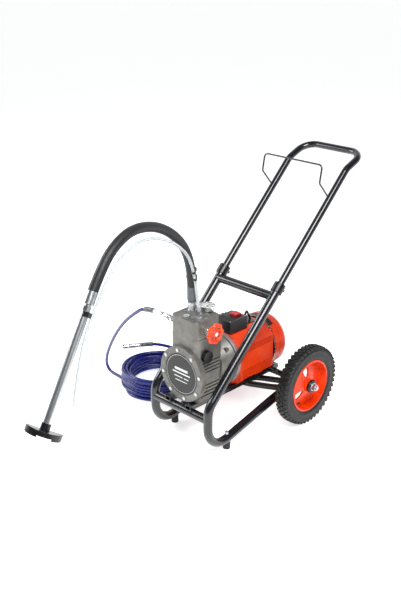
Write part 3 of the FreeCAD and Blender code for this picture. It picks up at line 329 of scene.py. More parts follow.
def addStage():
    world = bpy.data.worlds.new("studio")
    world.use_nodes = True
    # white backdrop behind the sprayer, dimmer room on the near side and overhead
    tree = world.node_tree
    sky = tree.nodes["Background"]
    way = addNode(tree, "ShaderNodeTexCoord").outputs["Generated"]
    behind = addNode(tree, "ShaderNodeVectorMath", {0: way, 1: (-0.66, 0.66, -0.35)}, operation="DOT_PRODUCT")
    tree.links.new(ramp(tree, behind.outputs["Value"], [(0.0, light["room"]), (0.45, light["backdrop"])]),
                   sky.inputs["Color"])
    sky.inputs["Strength"].default_value = light["skyPower"]
    bpy.context.scene.world = world
    bpy.context.scene.view_settings.view_transform = "Standard"
    addArea("keyLight", (1.6, -1.2, 2.8), (0, 0, 0.3), (1.6, 1.6), light["keyPower"])
    addArea("fillLight", (-2.4, -1.4, 1.8), (0, 0, 0.3), (1.8, 1.2), light["fillPower"])
    mesh = bpy.data.meshes.new("floor")
    mesh.from_pydata([(-40, -40, 0), (40, -40, 0), (40, 40, 0), (-40, 40, 0)], [], [(0, 1, 2, 3)])
    floor = bpy.data.objects.new("floor", mesh)
    bpy.context.scene.collection.objects.link(floor)
    material, tree, shader, place = startMaterial("paleFloor")
    tree.links.new(ramp(tree, noiseAt(tree, place, 900), [(0.3, light["floor"]), (0.7, "#FBFBFA")]),
                   shader.inputs["Base Color"])
    # a lit white sweep: the floor gives some light of its own, so it stays white to the far edge
    setShader(shader, Roughness=0.6, Emission_Color=srgb("#FFFFFF"), Emission_Strength=light["sweep"])
    mesh.materials.append(material)


addCamera()
addStage()
print("camera, light and floor ready")


# ---- curves and meshes ----
def addObject(name, data, material=None):
    piece = bpy.data.objects.new(name, data)
    bpy.context.scene.collection.objects.link(piece)
    if material is not None:
        data.materials.clear()
        data.materials.append(material)
    return piece


def addNurbs(name, points, radius, material=None, steps=6):
    curve = bpy.data.curves.new(name, "CURVE")
    curve.dimensions = "3D"
    spline = curve.splines.new("NURBS")
    spline.points.add(len(points) - 1)
    for target, point in zip(spline.points, points):
        target.co = (*point, 1)
    spline.order_u = 3
    spline.use_endpoint_u = True
    curve.resolution_u = steps
    curve.bevel_depth = radius
    curve.bevel_resolution = 3
    curve.use_fill_caps = True
    return addObject(name, curve, material)


def lineOf(points, steps=6):
    # points along the route's own smooth line
    bare = addNurbs("line", points, 0, None, steps)
    mesh = bpy.data.meshes.new_from_object(bare.evaluated_get(bpy.context.evaluated_depsgraph_get()))
    line = [v.co.copy() for v in mesh.vertices]
    bpy.data.objects.remove(bare)
    bpy.data.meshes.remove(mesh)
    return line


def lengthOf(line):
    return sum((b - a).length for a, b in zip(line, line[1:]))


def meshFrom(name, verts, faces, material):
    mesh = bpy.data.meshes.new(name)
    mesh.from_pydata([tuple(v) for v in verts], [], faces)
    mesh.validate()
    for polygon in mesh.polygons:
        polygon.use_smooth = True
    return addObject(name, mesh, material)


def frameAlong(way):
    # a turn that takes +Z to the given direction
    return Vector(way).to_track_quat("Z", "Y").to_matrix().to_4x4()


def turnedPiece(name, outline, base, way, material, count=48):
    # outline is a closed loop or open line of (radius, height) in millimetres, turned about its own axis
    place = Matrix.Translation(base) @ frameAlong(way)
    verts, faces = [], []
    rows = len(outline)
    for i in range(count):
        angle = 2 * math.pi * i / count
        for radius, height in outline:
            verts.append(place @ Vector((radius * mm * math.cos(angle), radius * mm * math.sin(angle),
                                         height * mm)))
    for i in range(count):
        for j in range(rows - 1):
            a, b = i * rows + j, ((i + 1) % count) * rows + j
            faces.append((a, b, b + 1, a + 1))
    piece = meshFrom(name, verts, faces, material)
    tidyMesh(piece)
    return piece


def tidyMesh(piece, angle=35):
    shell = bmesh.new()
    shell.from_mesh(piece.data)
    bmesh.ops.remove_doubles(shell, verts=shell.verts, dist=0.00001)
    bmesh.ops.holes_fill(shell, edges=[e for e in shell.edges if e.is_boundary], sides=0)
    bmesh.ops.recalc_face_normals(shell, faces=shell.faces)
    for edge in shell.edges:
        if len(edge.link_faces) == 2 and edge.calc_face_angle() > math.radians(angle):
            edge.smooth = False
    for face in shell.faces:
        face.smooth = True
    shell.to_mesh(piece.data)
    shell.free()


# ---- cords ----
suction = {"azimuth": -10, "stem": (-12, 68), "middleY": 400.75, "hose": 16, "tube": 5}
azimuth = math.radians(suction["azimuth"])
outWay = Vector((-math.sin(azimuth), -math.cos(azimuth), 0))
sideWay = Vector((math.cos(azimuth), -math.sin(azimuth), 0))


def at(x, y, z):
    # the trolley's own millimetres, with y counted from the front of the frame
    return Vector((x, y - suction["middleY"], z)) * mm


def reach(out, z, side=0.0):
    return at(*suction["stem"], z) + (outWay * out + sideWay * side) * mm


suctionRoute = [reach(0, 576), reach(4, 653), reach(58, 751), reach(168, 829), reach(295, 858), reach(390, 828),
                reach(449, 776), reach(490, 719)]
returnRoute = [at(16, 72, 492), reach(9, 571, 25), reach(26, 644, 24), reach(53, 702, 24), reach(107, 753, 24),
               reach(178, 794, 24), reach(255, 819, 24), reach(328, 818, 24), reach(395, 794, 24),
               reach(443, 759, 24), reach(479, 715, 23), reach(503, 681, 21.8), reach(529, 647, 20),
               reach(556, 601, 19), reach(578, 544, 18.5), reach(598, 482, 18.5), reach(616, 412, 18.5)]
paintRoute = [at(-158.5, 28, 453), at(-212, 27, 449), at(-264, 35, 412), at(-315, 47, 374), at(-373, 66, 326),
              at(-422, 84, 280), at(-466, 101, 235), at(-508, 119, 189), at(-546, 137, 145), at(-581, 153, 101),
              at(-602, 165, 65), at(-620, 179, 30), at(-604, 180, 8), at(-573, 176, 7), at(-534, 173, 8),
              at(-498, 165, 11), at(-466, 149, 13)]
tailRoute = [at(-330, 366, 86), at(-378, 372, 99), at(-428, 368, 106), at(-474, 352, 108), at(-512, 328, 108),
             at(-536, 296, 106)]
mainsRoute = [at(-46, 245, 385), at(-76, 246, 386), at(-98, 254, 366), at(-105, 272, 328), at(-106, 296, 280),
              at(-104, 320, 230), at(-98, 340, 184), at(-84, 356, 147), at(-56, 364, 124), at(-22, 371, 108)]

coil = {"centre": (-380, 246), "radii": (142, 128, 114), "turns": 18.6, "start": 243, "low": 8, "high": 84,
        "steps": 20, "wander": 5.5, "hose": 6.25, "seed": 4}


def coilPoints():
    # three columns of turns, the hose wandering from one column to the next as it winds
    chance = random.Random(coil["seed"])
    total = int(coil["turns"] * coil["steps"])
    shifts = [tuple(chance.uniform(-1, 1) for _ in range(3)) for _ in range(24)]
    columns = [coil["radii"][k % 3] for k in (0, 1, 2, 1, 0, 2, 1, 0, 1, 2, 0, 1, 2, 0, 2, 1, 0, 1, 0, 0, 0, 0)]
    points = []
    for i in range(1, total):
        turn = i / coil["steps"]
        angle = math.radians(coil["start"]) + 2 * math.pi * turn
        whole = int(turn)
        part = turn - whole
        swap = min(1, max(0, (part - 0.62) / 0.3))
        swap = swap * swap * (3 - 2 * swap)
        radius = columns[whole] * (1 - swap) + columns[whole + 1] * swap
        dx, dy, lift = [(a * (1 - part) + b * part) * coil["wander"]
                        for a, b in zip(shifts[whole], shifts[whole + 1])]
        lifted = 0.3 if i < total - 25 else 0
        height = coil["low"] + (coil["high"] - coil["low"]) * i / total + max(0, lift) * lifted
        points.append(at(coil["centre"][0] + radius * math.cos(angle) + dx * 0.45,
                         coil["centre"][1] + radius * math.sin(angle) + dy * 0.45, height))
    return points


hank = {"middle": (72, 370, 132), "tilt": 14, "straight": 65, "half": 32.5, "bundle": 7.2, "strands": 5,
        "cable": 4.25}


def hankPoints():
    # five strands lie round the bundle's own line, one after the other
    tilt = math.radians(hank["tilt"])
    way = Vector((math.cos(tilt), 0, math.sin(tilt)))
    up = Vector((-math.sin(tilt), 0, math.cos(tilt)))
    points = []
    for strand in range(hank["strands"]):
        roll = 2 * math.pi * (strand + 0.25) / hank["strands"]
        inward, lift = hank["bundle"] * math.cos(roll), hank["bundle"] * math.sin(roll)
        radius = hank["half"] + inward
        loop = [(-hank["straight"] - radius * math.sin(math.radians(a)), radius * math.cos(math.radians(a)))
                for a in (90, 67.5, 45, 22.5)]
        loop += [(x, radius) for x in (-55, -20, 20, 55)]
        loop += [(hank["straight"] + radius * math.cos(math.radians(a)), radius * math.sin(math.radians(a)))
                 for a in (67.5, 45, 22.5, 0, -22.5, -45, -67.5)]
        loop += [(x, -radius) for x in (55, 20, -20, -55)]
        loop += [(-hank["straight"] - radius * math.sin(math.radians(a)), -radius * math.cos(math.radians(a)))
                 for a in (22.5, 45, 67.5)]
        for x, y in loop:
            points.append(at(*hank["middle"]) + (way * x + Vector((0, y, 0)) + up * lift) * mm)
    return points


plugEnd = [at(-8, 349, 98), at(-29, 345, 98)]


def addCords():
    hose = addNurbs("suctionHose", suctionRoute, suction["hose"] * mm, finish["suctionHose"], 12)
    hose.data.bevel_resolution = 8
    tube = addNurbs("returnTube", returnRoute, suction["tube"] * mm, finish["clearTube"], 8)
    paintPoints = paintRoute + coilPoints() + tailRoute
    paint = addNurbs("paintHose", paintPoints, coil["hose"] * mm, finish["blueHose"], 4)
    mainsPoints = mainsRoute[:-1] + hankPoints() + plugEnd
    mains = addNurbs("mainsCable", mainsPoints, hank["cable"] * mm, finish["cable"], 5)
    lengths = [lengthOf(lineOf(points)) for points in (suctionRoute, returnRoute, paintPoints, mainsPoints)]
    print("cord lengths:", [round(length, 3) for length in lengths])
    for piece, replaced in ((hose, ["suction_hose"]), (tube, ["return_tube"]),
                            (paint, ["paint_hose", "paint_hose_coil", "paint_hose_tail"]),
                            (mains, ["mains_cable", "mains_hank"])):
        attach(piece, "trolley")
        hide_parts(*replaced)
    return hose, tube, paint, mains, lengths


laid = addCords()
print("cords laid")

# ---- shared ways of making pieces ----
def place(piece, body, slot, *replaced):
    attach(piece, body)
    if replaced:
        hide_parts(*replaced)
    return piece


def startTree(name, sockets):
    tree = bpy.data.node_groups.new(name, "GeometryNodeTree")
    for label, kind, value in sockets:
        socket = tree.interface.new_socket(label, in_out="INPUT", socket_type=kind)
        if value is not None:
            socket.default_value = value
    tree.interface.new_socket("Geometry", in_out="OUTPUT", socket_type="NodeSocketGeometry")
    return tree, tree.nodes.new("NodeGroupInput").outputs, tree.nodes.new("NodeGroupOutput").inputs


def closeTree(tree, geometry, material, out):
    real = addNode(tree, "GeometryNodeRealizeInstances", {"Geometry": geometry}).outputs["Geometry"]
    done = addNode(tree, "GeometryNodeSetMaterial",
                   {"Geometry": real, "Material": material}).outputs["Geometry"]
    tree.links.new(done, out["Geometry"])


def grow(name, tree, values):
    # run a geometry tree once and keep its result as a plain mesh
    holder = addObject(name + "Seed", bpy.data.meshes.new(name + "Seed"))
    modifier = holder.modifiers.new("grow", "NODES")
    modifier.node_group = tree
    for item in tree.interface.items_tree:
        if item.in_out == "INPUT" and item.name in values:
            modifier[item.identifier] = values[item.name]
    holder.data.update()
    bpy.context.view_layer.update()
    mesh = bpy.data.meshes.new_from_object(holder.evaluated_get(bpy.context.evaluated_depsgraph_get()))
    mesh.name = name
    modifier.node_group = None
    bpy.data.objects.remove(holder)
    return addObject(name, mesh)


def mathOf(tree, operation, a, b=0.0):
    return addNode(tree, "ShaderNodeMath", {0: a, 1: b}, operation=operation).outputs[0]


# ---- wheels ----
wheel = {"half": 25, "blocks": 46, "blockLong": 12, "edgeStart": 10, "edgeRadius": 141.4, "midRadius": 145.4,
         "edgeBlock": (11.5, 8.2), "midBlock": (8.5, 9.4),
         "rows": ((-17, 0.33), (-6.2, -0.27), (6.2, 0.27), (17, -0.33))}


def ringTree():
    # tread blocks: one row of rounded blocks set round the wheel, each row turned and skewed on its own
    tree, given, out = startTree("treadRow", [
        ("Count", "NodeSocketInt", 46), ("Radius", "NodeSocketFloat", 0.146),
        ("Block", "NodeSocketVector", (0.01, 0.01, 0.005)), ("Offset", "NodeSocketFloat", 0.0),
        ("Turn", "NodeSocketFloat", 0.0), ("Skew", "NodeSocketFloat", 0.0),
        ("Rubber", "NodeSocketMaterial", None)])
    circle = addNode(tree, "GeometryNodeMeshCircle", {"Vertices": given["Count"], "Radius": given["Radius"]})
    cube = addNode(tree, "GeometryNodeMeshCube", {"Size": given["Block"], "Vertices X": 3, "Vertices Y": 3})
    angle = mathOf(tree, "MULTIPLY", addNode(tree, "GeometryNodeInputIndex").outputs[0],
                   mathOf(tree, "DIVIDE", 2 * math.pi, given["Count"]))
    spin = addNode(tree, "ShaderNodeCombineXYZ", {"X": given["Skew"], "Z": angle}).outputs[0]
    blocks = addNode(tree, "GeometryNodeInstanceOnPoints", {"Points": circle.outputs["Mesh"],
                                                            "Instance": cube.outputs["Mesh"], "Rotation": spin})
    shift = addNode(tree, "ShaderNodeCombineXYZ", {"Z": given["Offset"]}).outputs[0]
    turn = addNode(tree, "ShaderNodeCombineXYZ", {"Z": given["Turn"]}).outputs[0]
    moved = addNode(tree, "GeometryNodeTransform",
                    {"Geometry": blocks.outputs["Instances"], "Translation": shift,
                     "Rotation": turn}).outputs["Geometry"]
    closeTree(tree, moved, given["Rubber"], out)
    return tree


def joinMeshes(name, pieces, material):
    shell = bmesh.new()
    for piece in pieces:
        shell.from_mesh(piece.data)
    mesh = bpy.data.meshes.new(name)
    shell.to_mesh(mesh)
    shell.free()
    for piece in pieces:
        bpy.data.objects.remove(piece)
    return addObject(name, mesh, material)


def smoothShade(piece, angle=35):
    shell = bmesh.new()
    shell.from_mesh(piece.data)
    bmesh.ops.recalc_face_normals(shell, faces=shell.faces)
    for edge in shell.edges:
        edge.smooth = not (len(edge.link_faces) == 2 and edge.calc_face_angle() > math.radians(angle))
    for face in shell.faces:
        face.smooth = True
    shell.to_mesh(piece.data)
    shell.free()


def addTyre(side, tree):
    low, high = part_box("tyre_" + side)
    centre = (low + high) / 2
    w = wheel["half"]
    outline = [(98.3, -w + 6), (108, -w + 1), (110, -w + 0.4), (112, -w + 1), (122, -w), (131, -w + 1.6),
               (133, -w + 0.8),
               (135, -w + 2.4), (141, -w + 5), (145, -w + 11), (145.6, -w + 17), (145.8, 0), (145.6, w - 17),
               (145, w - 11), (141, w - 5), (135, w - 2.4), (133, w - 0.8), (131, w - 1.6), (122, w),
               (112, w - 1),
               (110, w - 0.4), (108, w - 1), (98.3, w - 6), (98.3, 0), (98.3, -w + 6)]
    casing = turnedPiece("tyreCasing", outline, centre, (1, 0, 0), finish["tyre"], 96)
    rows = []
    turnX = frameAlong((1, 0, 0))
    step = 2 * math.pi / wheel["blocks"]
    for k, (offset, skew) in enumerate(wheel["rows"]):
        kind = "edge" if abs(offset) > wheel["edgeStart"] else "mid"
        wide, tall = wheel[kind + "Block"]
        row = grow("treadRow", tree, {
            "Count": wheel["blocks"], "Radius": wheel[kind + "Radius"] * mm, "Rubber": finish["tyre"],
            "Block": (wide * mm, wheel["blockLong"] * mm, tall * mm), "Offset": offset * mm,
            "Turn": step * (0.5 if k % 2 else 0.0), "Skew": skew})
        row.data.transform(Matrix.Translation(centre) @ turnX)
        rows.append(row)
    tyre = joinMeshes("tyre" + side.title(), [casing] + rows, finish["tyre"])
    smoothShade(tyre)
    place(tyre, "wheel_" + side, "tyre_rubber", "tyre_" + side)


def addHubCap(side):
    low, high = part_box("rim_" + side)
    way = 1 if side == "right" else -1
    face = high.x if side == "right" else low.x
    middle = (low + high) / 2
    seat = Vector((face - way * 10 * mm, middle.y, middle.z))
    cap = turnedPiece("hubCap" + side.title(),
                      [(21.2, 0), (23.4, 0), (24, 0.8), (24, 8), (22.8, 10), (18, 11), (13.8, 11),
                       (13.8, 10.1), (21.2, 10.1), (21.2, 0)], seat, (way, 0, 0),
                      finish["blackPlastic"], 48)
    place(cap, "wheel_" + side, "black_plastic")
    stem = turnedPiece("valveStem" + side.title(),
                       [(0, 0), (4.2, 0), (4.2, 3), (3.2, 5), (3.2, 15), (2.6, 16.5), (0, 16.5)],
                       Vector((middle.x + way * 2 * mm, middle.y - 60 * mm, middle.z - 60 * mm)),
                       (way * 0.55, 0.59, 0.59), finish["rubber"], 20)
    place(stem, "wheel_" + side, "black_rubber")


treadTree = ringTree()
for side in ("left", "right"):
    addTyre(side, treadTree)
    addHubCap(side)
print("wheels ready")

# ---- spring guards and hose ends ----
guard = {"wire": 1.15, "pitch": 2.5, "radius": 8.0, "length": 46}


def guardTree():
    # close-wound guard: one wire ring after another along the hose's own line
    tree, given, out = startTree("springGuard", [
        ("Path", "NodeSocketObject", None), ("Pitch", "NodeSocketFloat", 0.0025),
        ("Radius", "NodeSocketFloat", 0.008),
        ("Wire", "NodeSocketFloat", 0.001), ("Steel", "NodeSocketMaterial", None)])
    line = addNode(tree, "GeometryNodeObjectInfo", {"Object": given["Path"]}).outputs["Geometry"]
    points = addNode(tree, "GeometryNodeCurveToPoints", {"Curve": line, "Length": given["Pitch"]},
                     mode="LENGTH")
    ring = addNode(tree, "GeometryNodeCurvePrimitiveCircle", {"Resolution": 28, "Radius": given["Radius"]})
    wireRound = addNode(tree, "GeometryNodeCurvePrimitiveCircle", {"Resolution": 8, "Radius": given["Wire"]})
    wire = addNode(tree, "GeometryNodeCurveToMesh",
                   {"Curve": ring.outputs["Curve"], "Profile Curve": wireRound.outputs["Curve"]})
    coils = addNode(tree, "GeometryNodeInstanceOnPoints", {"Points": points.outputs["Points"],
                                                           "Instance": wire.outputs["Mesh"],
                                                           "Rotation": points.outputs["Rotation"]})
    closeTree(tree, coils.outputs["Instances"], given["Steel"], out)
    return tree


def partOf(line, length):
    kept, gone = [line[0]], 0.0
    for a, b in zip(line, line[1:]):
        step = (b - a).length
        if gone + step > length * mm:
            kept.append(a.lerp(b, (length * mm - gone) / step))
            break
        kept.append(b)
        gone += step
    return kept


def addPolyline(name, line):
    curve = bpy.data.curves.new(name, "CURVE")
    curve.dimensions = "3D"
    spline = curve.splines.new("POLY")
    spline.points.add(len(line) - 1)
    for target, point in zip(spline.points, line):
        target.co = (*point, 1)
    return addObject(name, curve)


def swivelEnd(name, face, way):
    # swivel nut, shoulder and tapered crimp, from the sealing face towards the hose
    nut = hexPiece(name + "Nut", 11.6, 0, 22, face, way, finish["chrome"], hole=6)
    body = turnedPiece(name, [(6, 2), (9.4, 2), (9.4, 22), (8.2, 23), (8.2, 27), (9.6, 28), (9.9, 30),
                              (9.9, 52), (9.2, 54),
                              (8.8, 64), (8.4, 76), (7.4, 77.5), (6, 77.5), (6, 2)], face, way,
                       finish["chrome"], 40)
    return [nut, body]


def hexPiece(name, radius, low, high, base, way, material, hole=0.0, turn=0.0):
    # six-sided nut with its corners turned off, radius over the corners
    where = Matrix.Translation(base) @ frameAlong(way)
    rows = [(low, 0.9), (low + 1, 1.0), (high - 1, 1.0), (high, 0.9)]
    verts, faces = [], []
    for height, share in rows:
        for k in range(24):
            angle = 2 * math.pi * k / 24 + turn
            flat = radius * math.cos(math.pi / 6) / math.cos((angle - turn) % (math.pi / 3) - math.pi / 6)
            reachOut = min(flat, radius * (0.965 if share == 1.0 else share))
            verts.append(where @ Vector((reachOut * math.cos(angle) * mm, reachOut * math.sin(angle) * mm,
                                         height * mm)))
    for row in range(3):
        for k in range(24):
            a, b = row * 24 + k, row * 24 + (k + 1) % 24
            faces.append((a, b, b + 24, a + 24))
    innerStart = len(verts)
    for height in (low, high):
        for k in range(24):
            angle = 2 * math.pi * k / 24 + turn
            verts.append(where @ Vector((max(hole, 0.01) * math.cos(angle) * mm,
                                         max(hole, 0.01) * math.sin(angle) * mm,
                                         height * mm)))
    for k in range(24):
        n = (k + 1) % 24
        faces.append((k, innerStart + k, innerStart + n, n))
        faces.append((72 + k, 72 + n, innerStart + 24 + n, innerStart + 24 + k))
        faces.append((innerStart + k, innerStart + 24 + k, innerStart + 24 + n, innerStart + n))
    piece = meshFrom(name, verts, faces, material)
    tidyMesh(piece)
    return piece


def addHoseEnds():
    tree = guardTree()
    nearLine = partOf(lineOf(paintRoute, 8), guard["length"])
    farLine = partOf(list(reversed(lineOf(tailRoute, 8))), guard["length"])
    farWay = (tailRoute[-2] - tailRoute[-1]).normalized()
    pieces = []
    for name, line in (("nearGuard", nearLine), ("farGuard", farLine)):
        path = addPolyline(name + "Path", line)
        piece = grow(name, tree, {"Path": path, "Pitch": guard["pitch"] * mm, "Radius": guard["radius"] * mm,
                                  "Wire": guard["wire"] * mm, "Steel": finish["darkSteel"]})
        bpy.data.objects.remove(path)
        tidyMesh(piece, 60)
        pieces.append(piece)
    pieces += swivelEnd("nearSwivel", paintRoute[0] + Vector((78 * mm, 0, 0)), Vector((-1, 0, 0)))
    pieces += swivelEnd("farSwivel", tailRoute[-1] - farWay * 78 * mm, farWay)
    for piece in pieces:
        place(piece, "trolley", "zinc_steel")
    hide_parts("hose_couplings")
    return pieces


addHoseEnds()
print("hose ends ready")

# ---- pump head, gauge and front label ----
def addFrontLabel():
    low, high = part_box("front_cover")
    centre = Vector(((low.x + high.x) / 2, low.y + 1.5 * mm, (low.z + high.z) / 2))
    disc = turnedPiece("coverLabel", [(0, 0), (75.2, 0), (75.2, 0.5), (74.6, 1.1), (0, 1.3)], centre,
                       (0, -1, 0),
                       printedFoil("coverLabelFoil", "#0E0F11", centre,
                                   [(0, 17, 62, 9), (0, 3, 84, 5), (-14, -12, 40, 3.5), (24, -12, 22, 3.5),
                                    (0, -26, 56, 3)],
                                   70), 72)
    place(disc, "trolley", "black_plastic")
    ring = turnedPiece("coverRing", [(76.0, -0.2), (77.2, -0.2), (77.2, 1.45), (76.8, 1.5), (76.0, 1.5),
                                     (76.0, -0.2)], centre, (0, -1, 0),
                       finish["darkSteel"], 72)
    place(ring, "trolley", "cast_grey")


def dialFace(centre):
    # pale dial with a black arc and ticks round most of it, drawn with angle and distance
    material, tree, shader, where = startMaterial("gaugeDial")
    local = addNode(tree, "ShaderNodeMapping",
                    {"Vector": where, "Location": [-c for c in centre]}).outputs["Vector"]
    axes = addNode(tree, "ShaderNodeSeparateXYZ", {"Vector": local}).outputs
    reachOut = addNode(tree, "ShaderNodeVectorMath", {0: local}, operation="LENGTH").outputs["Value"]
    angle = mathOf(tree, "ARCTAN2", axes["X"], axes["Y"])
    beat = mathOf(tree, "PINGPONG", angle, math.radians(7.5))
    tick = mathOf(tree, "LESS_THAN", beat, math.radians(1.4))
    band = mathOf(tree, "MULTIPLY", mathOf(tree, "GREATER_THAN", reachOut, 18.5 * mm),
                  mathOf(tree, "LESS_THAN", reachOut, 22.5 * mm))
    openArc = mathOf(tree, "GREATER_THAN",
                     mathOf(tree, "ABSOLUTE", mathOf(tree, "SUBTRACT", angle, math.pi)), 0.7)
    arc = mathOf(tree, "MULTIPLY", mathOf(tree, "GREATER_THAN", reachOut, 17.6 * mm),
                 mathOf(tree, "LESS_THAN", reachOut, 18.4 * mm))
    ink = mathOf(tree, "MULTIPLY", mathOf(tree, "MAXIMUM", mathOf(tree, "MULTIPLY", tick, band), arc), openArc)
    paper = ramp(tree, noiseAt(tree, where, 12), [(0.3, "#ECEDEB"), (0.7, "#F6F6F4")])
    tone = addNode(tree, "ShaderNodeMixRGB",
                   {"Fac": ink, "Color1": paper, "Color2": srgb("#15161A")}).outputs["Color"]
    tree.links.new(tone, shader.inputs["Base Color"])
    tree.links.new(spread(tree, noiseAt(tree, where, 5), 0.4, 0.5), shader.inputs["Roughness"])
    bumpFrom(tree, shader, ink, 0.01)
    return material


def addGauge():
    low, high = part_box("gauge_case")
    centre = Vector(((low.x + high.x) / 2, (low.y + high.y) / 2, high.z - 6.9 * mm))
    dial = turnedPiece("gaugeDial", [(1.7, 0), (25.2, 0), (25.2, 0.35), (1.7, 0.35), (1.7, 0)], centre,
                       (0, 0, 1), dialFace(centre), 60)
    place(dial, "trolley", "chrome")
    lens = turnedPiece("gaugeLens",
                       [(0, 4.4), (24, 4.4), (25.3, 4.2), (25.3, 5.2), (24, 5.6), (14, 6.2), (0, 6.4)],
                       centre, (0, 0, 1), finish["lens"], 60)
    place(lens, "trolley", "chrome")


def addStemFittings():
    stem = reach(0, 476)
    ferrule = turnedPiece("stemFerrule",
                          [(12.6, 47), (14.6, 47), (15.2, 48), (15.2, 52), (16.4, 54), (16.6, 56), (16.6, 95),
                           (16.2, 98), (15.2, 99.5), (12.6, 99.5), (12.6, 47)], stem, (0, 0, 1),
                          finish["greyFerrule"], 40)
    place(ferrule, "trolley", "zinc_steel")
    nut = hexPiece("stemNut", 16.8, 27, 45, stem, (0, 0, 1), finish["zinc"], hole=12.6, turn=0.3)
    place(nut, "trolley", "zinc_steel")


knob = {"lobes": 8, "ring": 29.5, "wave": 1.8, "tube": 6.0, "hub": 12.5, "spokes": 8}


def addKnob():
    # handwheel: a lobed rim on eight spokes round a hub with a bright screw
    low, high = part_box("relief_knob")
    centre = Vector((high.x - 8 * mm, (low.y + high.y) / 2, (low.z + high.z) / 2))
    verts, faces = [], []
    count, section = 96, 14
    for i in range(count):
        angle = 2 * math.pi * i / count
        lobe = math.cos(knob["lobes"] * angle)
        ring, tube = knob["ring"] + knob["wave"] * lobe * 0.6, knob["tube"] + 0.6 * knob["wave"] * lobe
        for k in range(section):
            turn = 2 * math.pi * k / section
            radius = ring + tube * math.cos(turn)
            verts.append(centre + Vector((tube * 1.1 * math.sin(turn), radius * math.cos(angle),
                                          radius * math.sin(angle))) * mm)
    for i in range(count):
        for k in range(section):
            a, b = i * section, ((i + 1) % count) * section
            faces.append((a + k, b + k, b + (k + 1) % section, a + (k + 1) % section))
    rim = meshFrom("knobRim", verts, faces, finish["orangePlastic"])
    hub = turnedPiece("knobHub", [(0, -9.8), (knob["hub"], -9.8), (knob["hub"] + 0.5, 2),
                                  (knob["hub"] - 1.5, 5), (9, 6), (0, 6)],
                      centre, (1, 0, 0), finish["orangePlastic"], 40)
    spokes = []
    for k in range(knob["spokes"]):
        angle = 2 * math.pi * (k + 0.5) / knob["spokes"]
        way = Vector((0, math.cos(angle), math.sin(angle)))
        spokes.append(turnedPiece("knobSpoke", [(0, 0), (3.3, 0), (2.9, 7), (3.6, 15), (0, 15)],
                                  centre + way * 11 * mm,
                                  way, finish["orangePlastic"], 16))
    handwheel = joinMeshes("reliefKnob", [rim, hub] + spokes, finish["orangePlastic"])
    smoothShade(handwheel)
    place(handwheel, "relief_knob", "orange_plastic", "relief_knob")
    cap = turnedPiece("knobScrew",
                      [(0, 4), (7.2, 4), (7.2, 6.8), (6.8, 7.4), (3.6, 7.8), (3.2, 7.8), (3.0, 6.4), (0, 6.2)],
                      centre, (1, 0, 0), finish["chrome"], 36)
    place(cap, "relief_knob", "chrome")


addFrontLabel()
addGauge()
addStemFittings()
addKnob()
print("pump details ready")

# ---- motor details ----
def barRowTree():
    # a row of slim bars, one every pitch
    tree, given, out = startTree("louvreBars", [
        ("Count", "NodeSocketInt", 12), ("Pitch", "NodeSocketFloat", 0.004),
        ("Bar", "NodeSocketVector", (0.05, 0.001, 0.001)), ("Plastic", "NodeSocketMaterial", None)])
    step = addNode(tree, "ShaderNodeCombineXYZ", {"Y": given["Pitch"]}).outputs[0]
    line = addNode(tree, "GeometryNodeMeshLine", {"Count": given["Count"], "Offset": step}).outputs["Mesh"]
    bar = addNode(tree, "GeometryNodeMeshCube", {"Size": given["Bar"]}).outputs["Mesh"]
    bars = addNode(tree, "GeometryNodeInstanceOnPoints", {"Points": line, "Instance": bar}).outputs["Instances"]
    closeTree(tree, bars, given["Plastic"], out)
    return tree


def addLidRibs():
    low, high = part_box("switch_lid")
    ribs = grow("lidRibs", barRowTree(),
                {"Count": 5, "Pitch": 5.2 * mm, "Bar": ((high.x - low.x) * 0.74, 2.4 * mm, 1.6 * mm),
                 "Plastic": finish["blackPlastic"]})
    ribs.data.transform(Matrix.Translation(Vector(((low.x + high.x) / 2, low.y + 12 * mm, high.z - 0.1 * mm))))
    tidyMesh(ribs)
    place(ribs, "trolley", "black_plastic")
    for k, (x, y) in enumerate(((low.x + 6 * mm, low.y + 6 * mm), (high.x - 6 * mm, low.y + 6 * mm),
                                (low.x + 6 * mm, high.y - 6 * mm), (high.x - 6 * mm, high.y - 6 * mm))):
        screw = turnedPiece("lidScrew%d" % k, [(0, -1), (3.2, -1), (3.2, 0.6), (2.6, 1.1), (0, 1.3)],
                            Vector((x, y, high.z)), (0, 0, 1), finish["zinc"], 24)
        place(screw, "trolley", "zinc_steel")


def arcPatch(name, centre, angles, span, radiusAt, material):
    # a thin curved panel on the fan cover: radiusAt gives its height at each angle and depth
    verts, faces = [], []
    rows, columns = span[2], angles[2]
    for layer in (0, 1):
        for i in range(rows + 1):
            y = span[0] + (span[1] - span[0]) * i / rows
            for k in range(columns + 1):
                angle = math.radians(angles[0] + (angles[1] - angles[0]) * k / columns)
                radius = radiusAt(i, k) if layer == 0 else 96.9
                verts.append(centre + Vector((radius * math.cos(angle), y, radius * math.sin(angle))) * mm)
    half = (rows + 1) * (columns + 1)
    for i in range(rows):
        for k in range(columns):
            a = i * (columns + 1) + k
            quad = (a, a + 1, a + columns + 2, a + columns + 1)
            faces.append(quad)
            faces.append(tuple(half + v for v in reversed(quad)))
    wide = columns + 1
    edge = list(range(wide)) + [i * wide + columns for i in range(1, rows + 1)]
    edge += [rows * wide + k for k in range(columns - 1, -1, -1)] + [i * wide for i in range(rows - 1, 0, -1)]
    for a, b in zip(edge, edge[1:] + edge[:1]):
        faces.append((a, b, half + b, half + a))
    piece = meshFrom(name, verts, faces, material)
    smoothShade(piece, 40)
    return piece


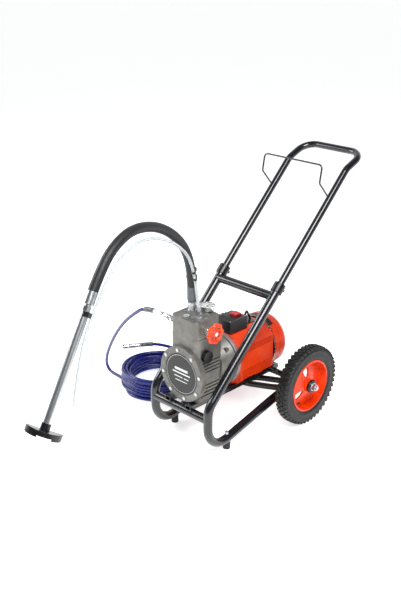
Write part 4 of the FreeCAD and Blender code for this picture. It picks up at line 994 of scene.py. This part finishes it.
def addCoverDetails():
    low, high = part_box("fan_cover")
    centre = Vector(((low.x + high.x) / 2, low.y, (low.z + high.z) / 2))
    # start and width along the cover, top radius
    rings = (("coverLip", 0.0, 2.0, 98.7, finish["chrome"]),
             ("coverGap", 2.0, 2.4, 98.7, finish["blackPlastic"]),
             ("coverLedge", 30.0, 3.0, 99.4, finish["enamel"]))
    for name, start, wide, top, material in rings:
        ring = turnedPiece(name, [(97.4, start), (top, start), (top, start + wide), (97.4, start + wide),
                                  (97.4, start)],
                           centre, (0, 1, 0), material, 96)
        place(ring, "trolley", "orange_paint")
    grille = arcPatch("coverGrille", centre, (52, 122, 56), (6, 27, 14),
                      lambda i, k: 99.0 if k % 4 < 2 or i in (0, 14) else 98.2, finish["blackPlastic"])
    place(grille, "trolley", "black_plastic")


def addBellDetails():
    low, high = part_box("bell_housing")
    centre = Vector(((low.x + high.x) / 2, high.y, (low.z + high.z) / 2))
    ring = turnedPiece("bellFlange", [(90, -11.5), (94.6, -11.5), (95.4, -10.8), (95.4, -0.6), (94.8, 0),
                                      (90, 0), (90, -11.5)],
                       centre, (0, 1, 0), finish["brightCast"], 96)
    place(ring, "trolley", "cast_grey")


addCoverDetails()
addBellDetails()
addLidRibs()
print("motor details ready")

# ---- finishes of the carried-over nodes ----
use(finish["powder"], "side_tube_left", "side_tube_right", "front_crossbar", "upper_crossbar", "deck_rail_left",
    "deck_rail_right", "axle_tube", "handle_bar", "wire_rack", "lifting_eye")
use(finish["zinc"], "axle_rod", "foot_bolts", "axle_nuts", "cover_screws", "head_screws", "valve_plugs",
    "outlet_nipple", "suction_fitting", "suction_coupling", "hose_couplings")
use(finish["rubber"], "rubber_feet", "diaphragm", "mains_plug")
use(finish["blackPlastic"], "clamp_collars", "cooling_fan", "rear_shield", "switch_box", "switch_lid",
    "oil_cap",
    "strainer", "hose_clips", "gauge_needle")
use(finish["tyre"], "tyre_left", "tyre_right")
use(finish["orangePlastic"], "rim_left", "rim_right", "relief_knob")
use(finish["enamel"], "motor_housing", "fan_cover")
use(finish["cast"], "bell_housing", "pump_body", "front_cover", "head_block")
use(finish["darkSteel"], "stator", "rotor_core", "drive_shaft", "shaft_bearings", "piston", "piston_spring")
use(finish["redPlastic"], "switch_button")
use(finish["brass"], "relief_stem")
use(finish["chrome"], "gauge_case")
use(finish["pipe"], "suction_pipe")
print("node finishes set")
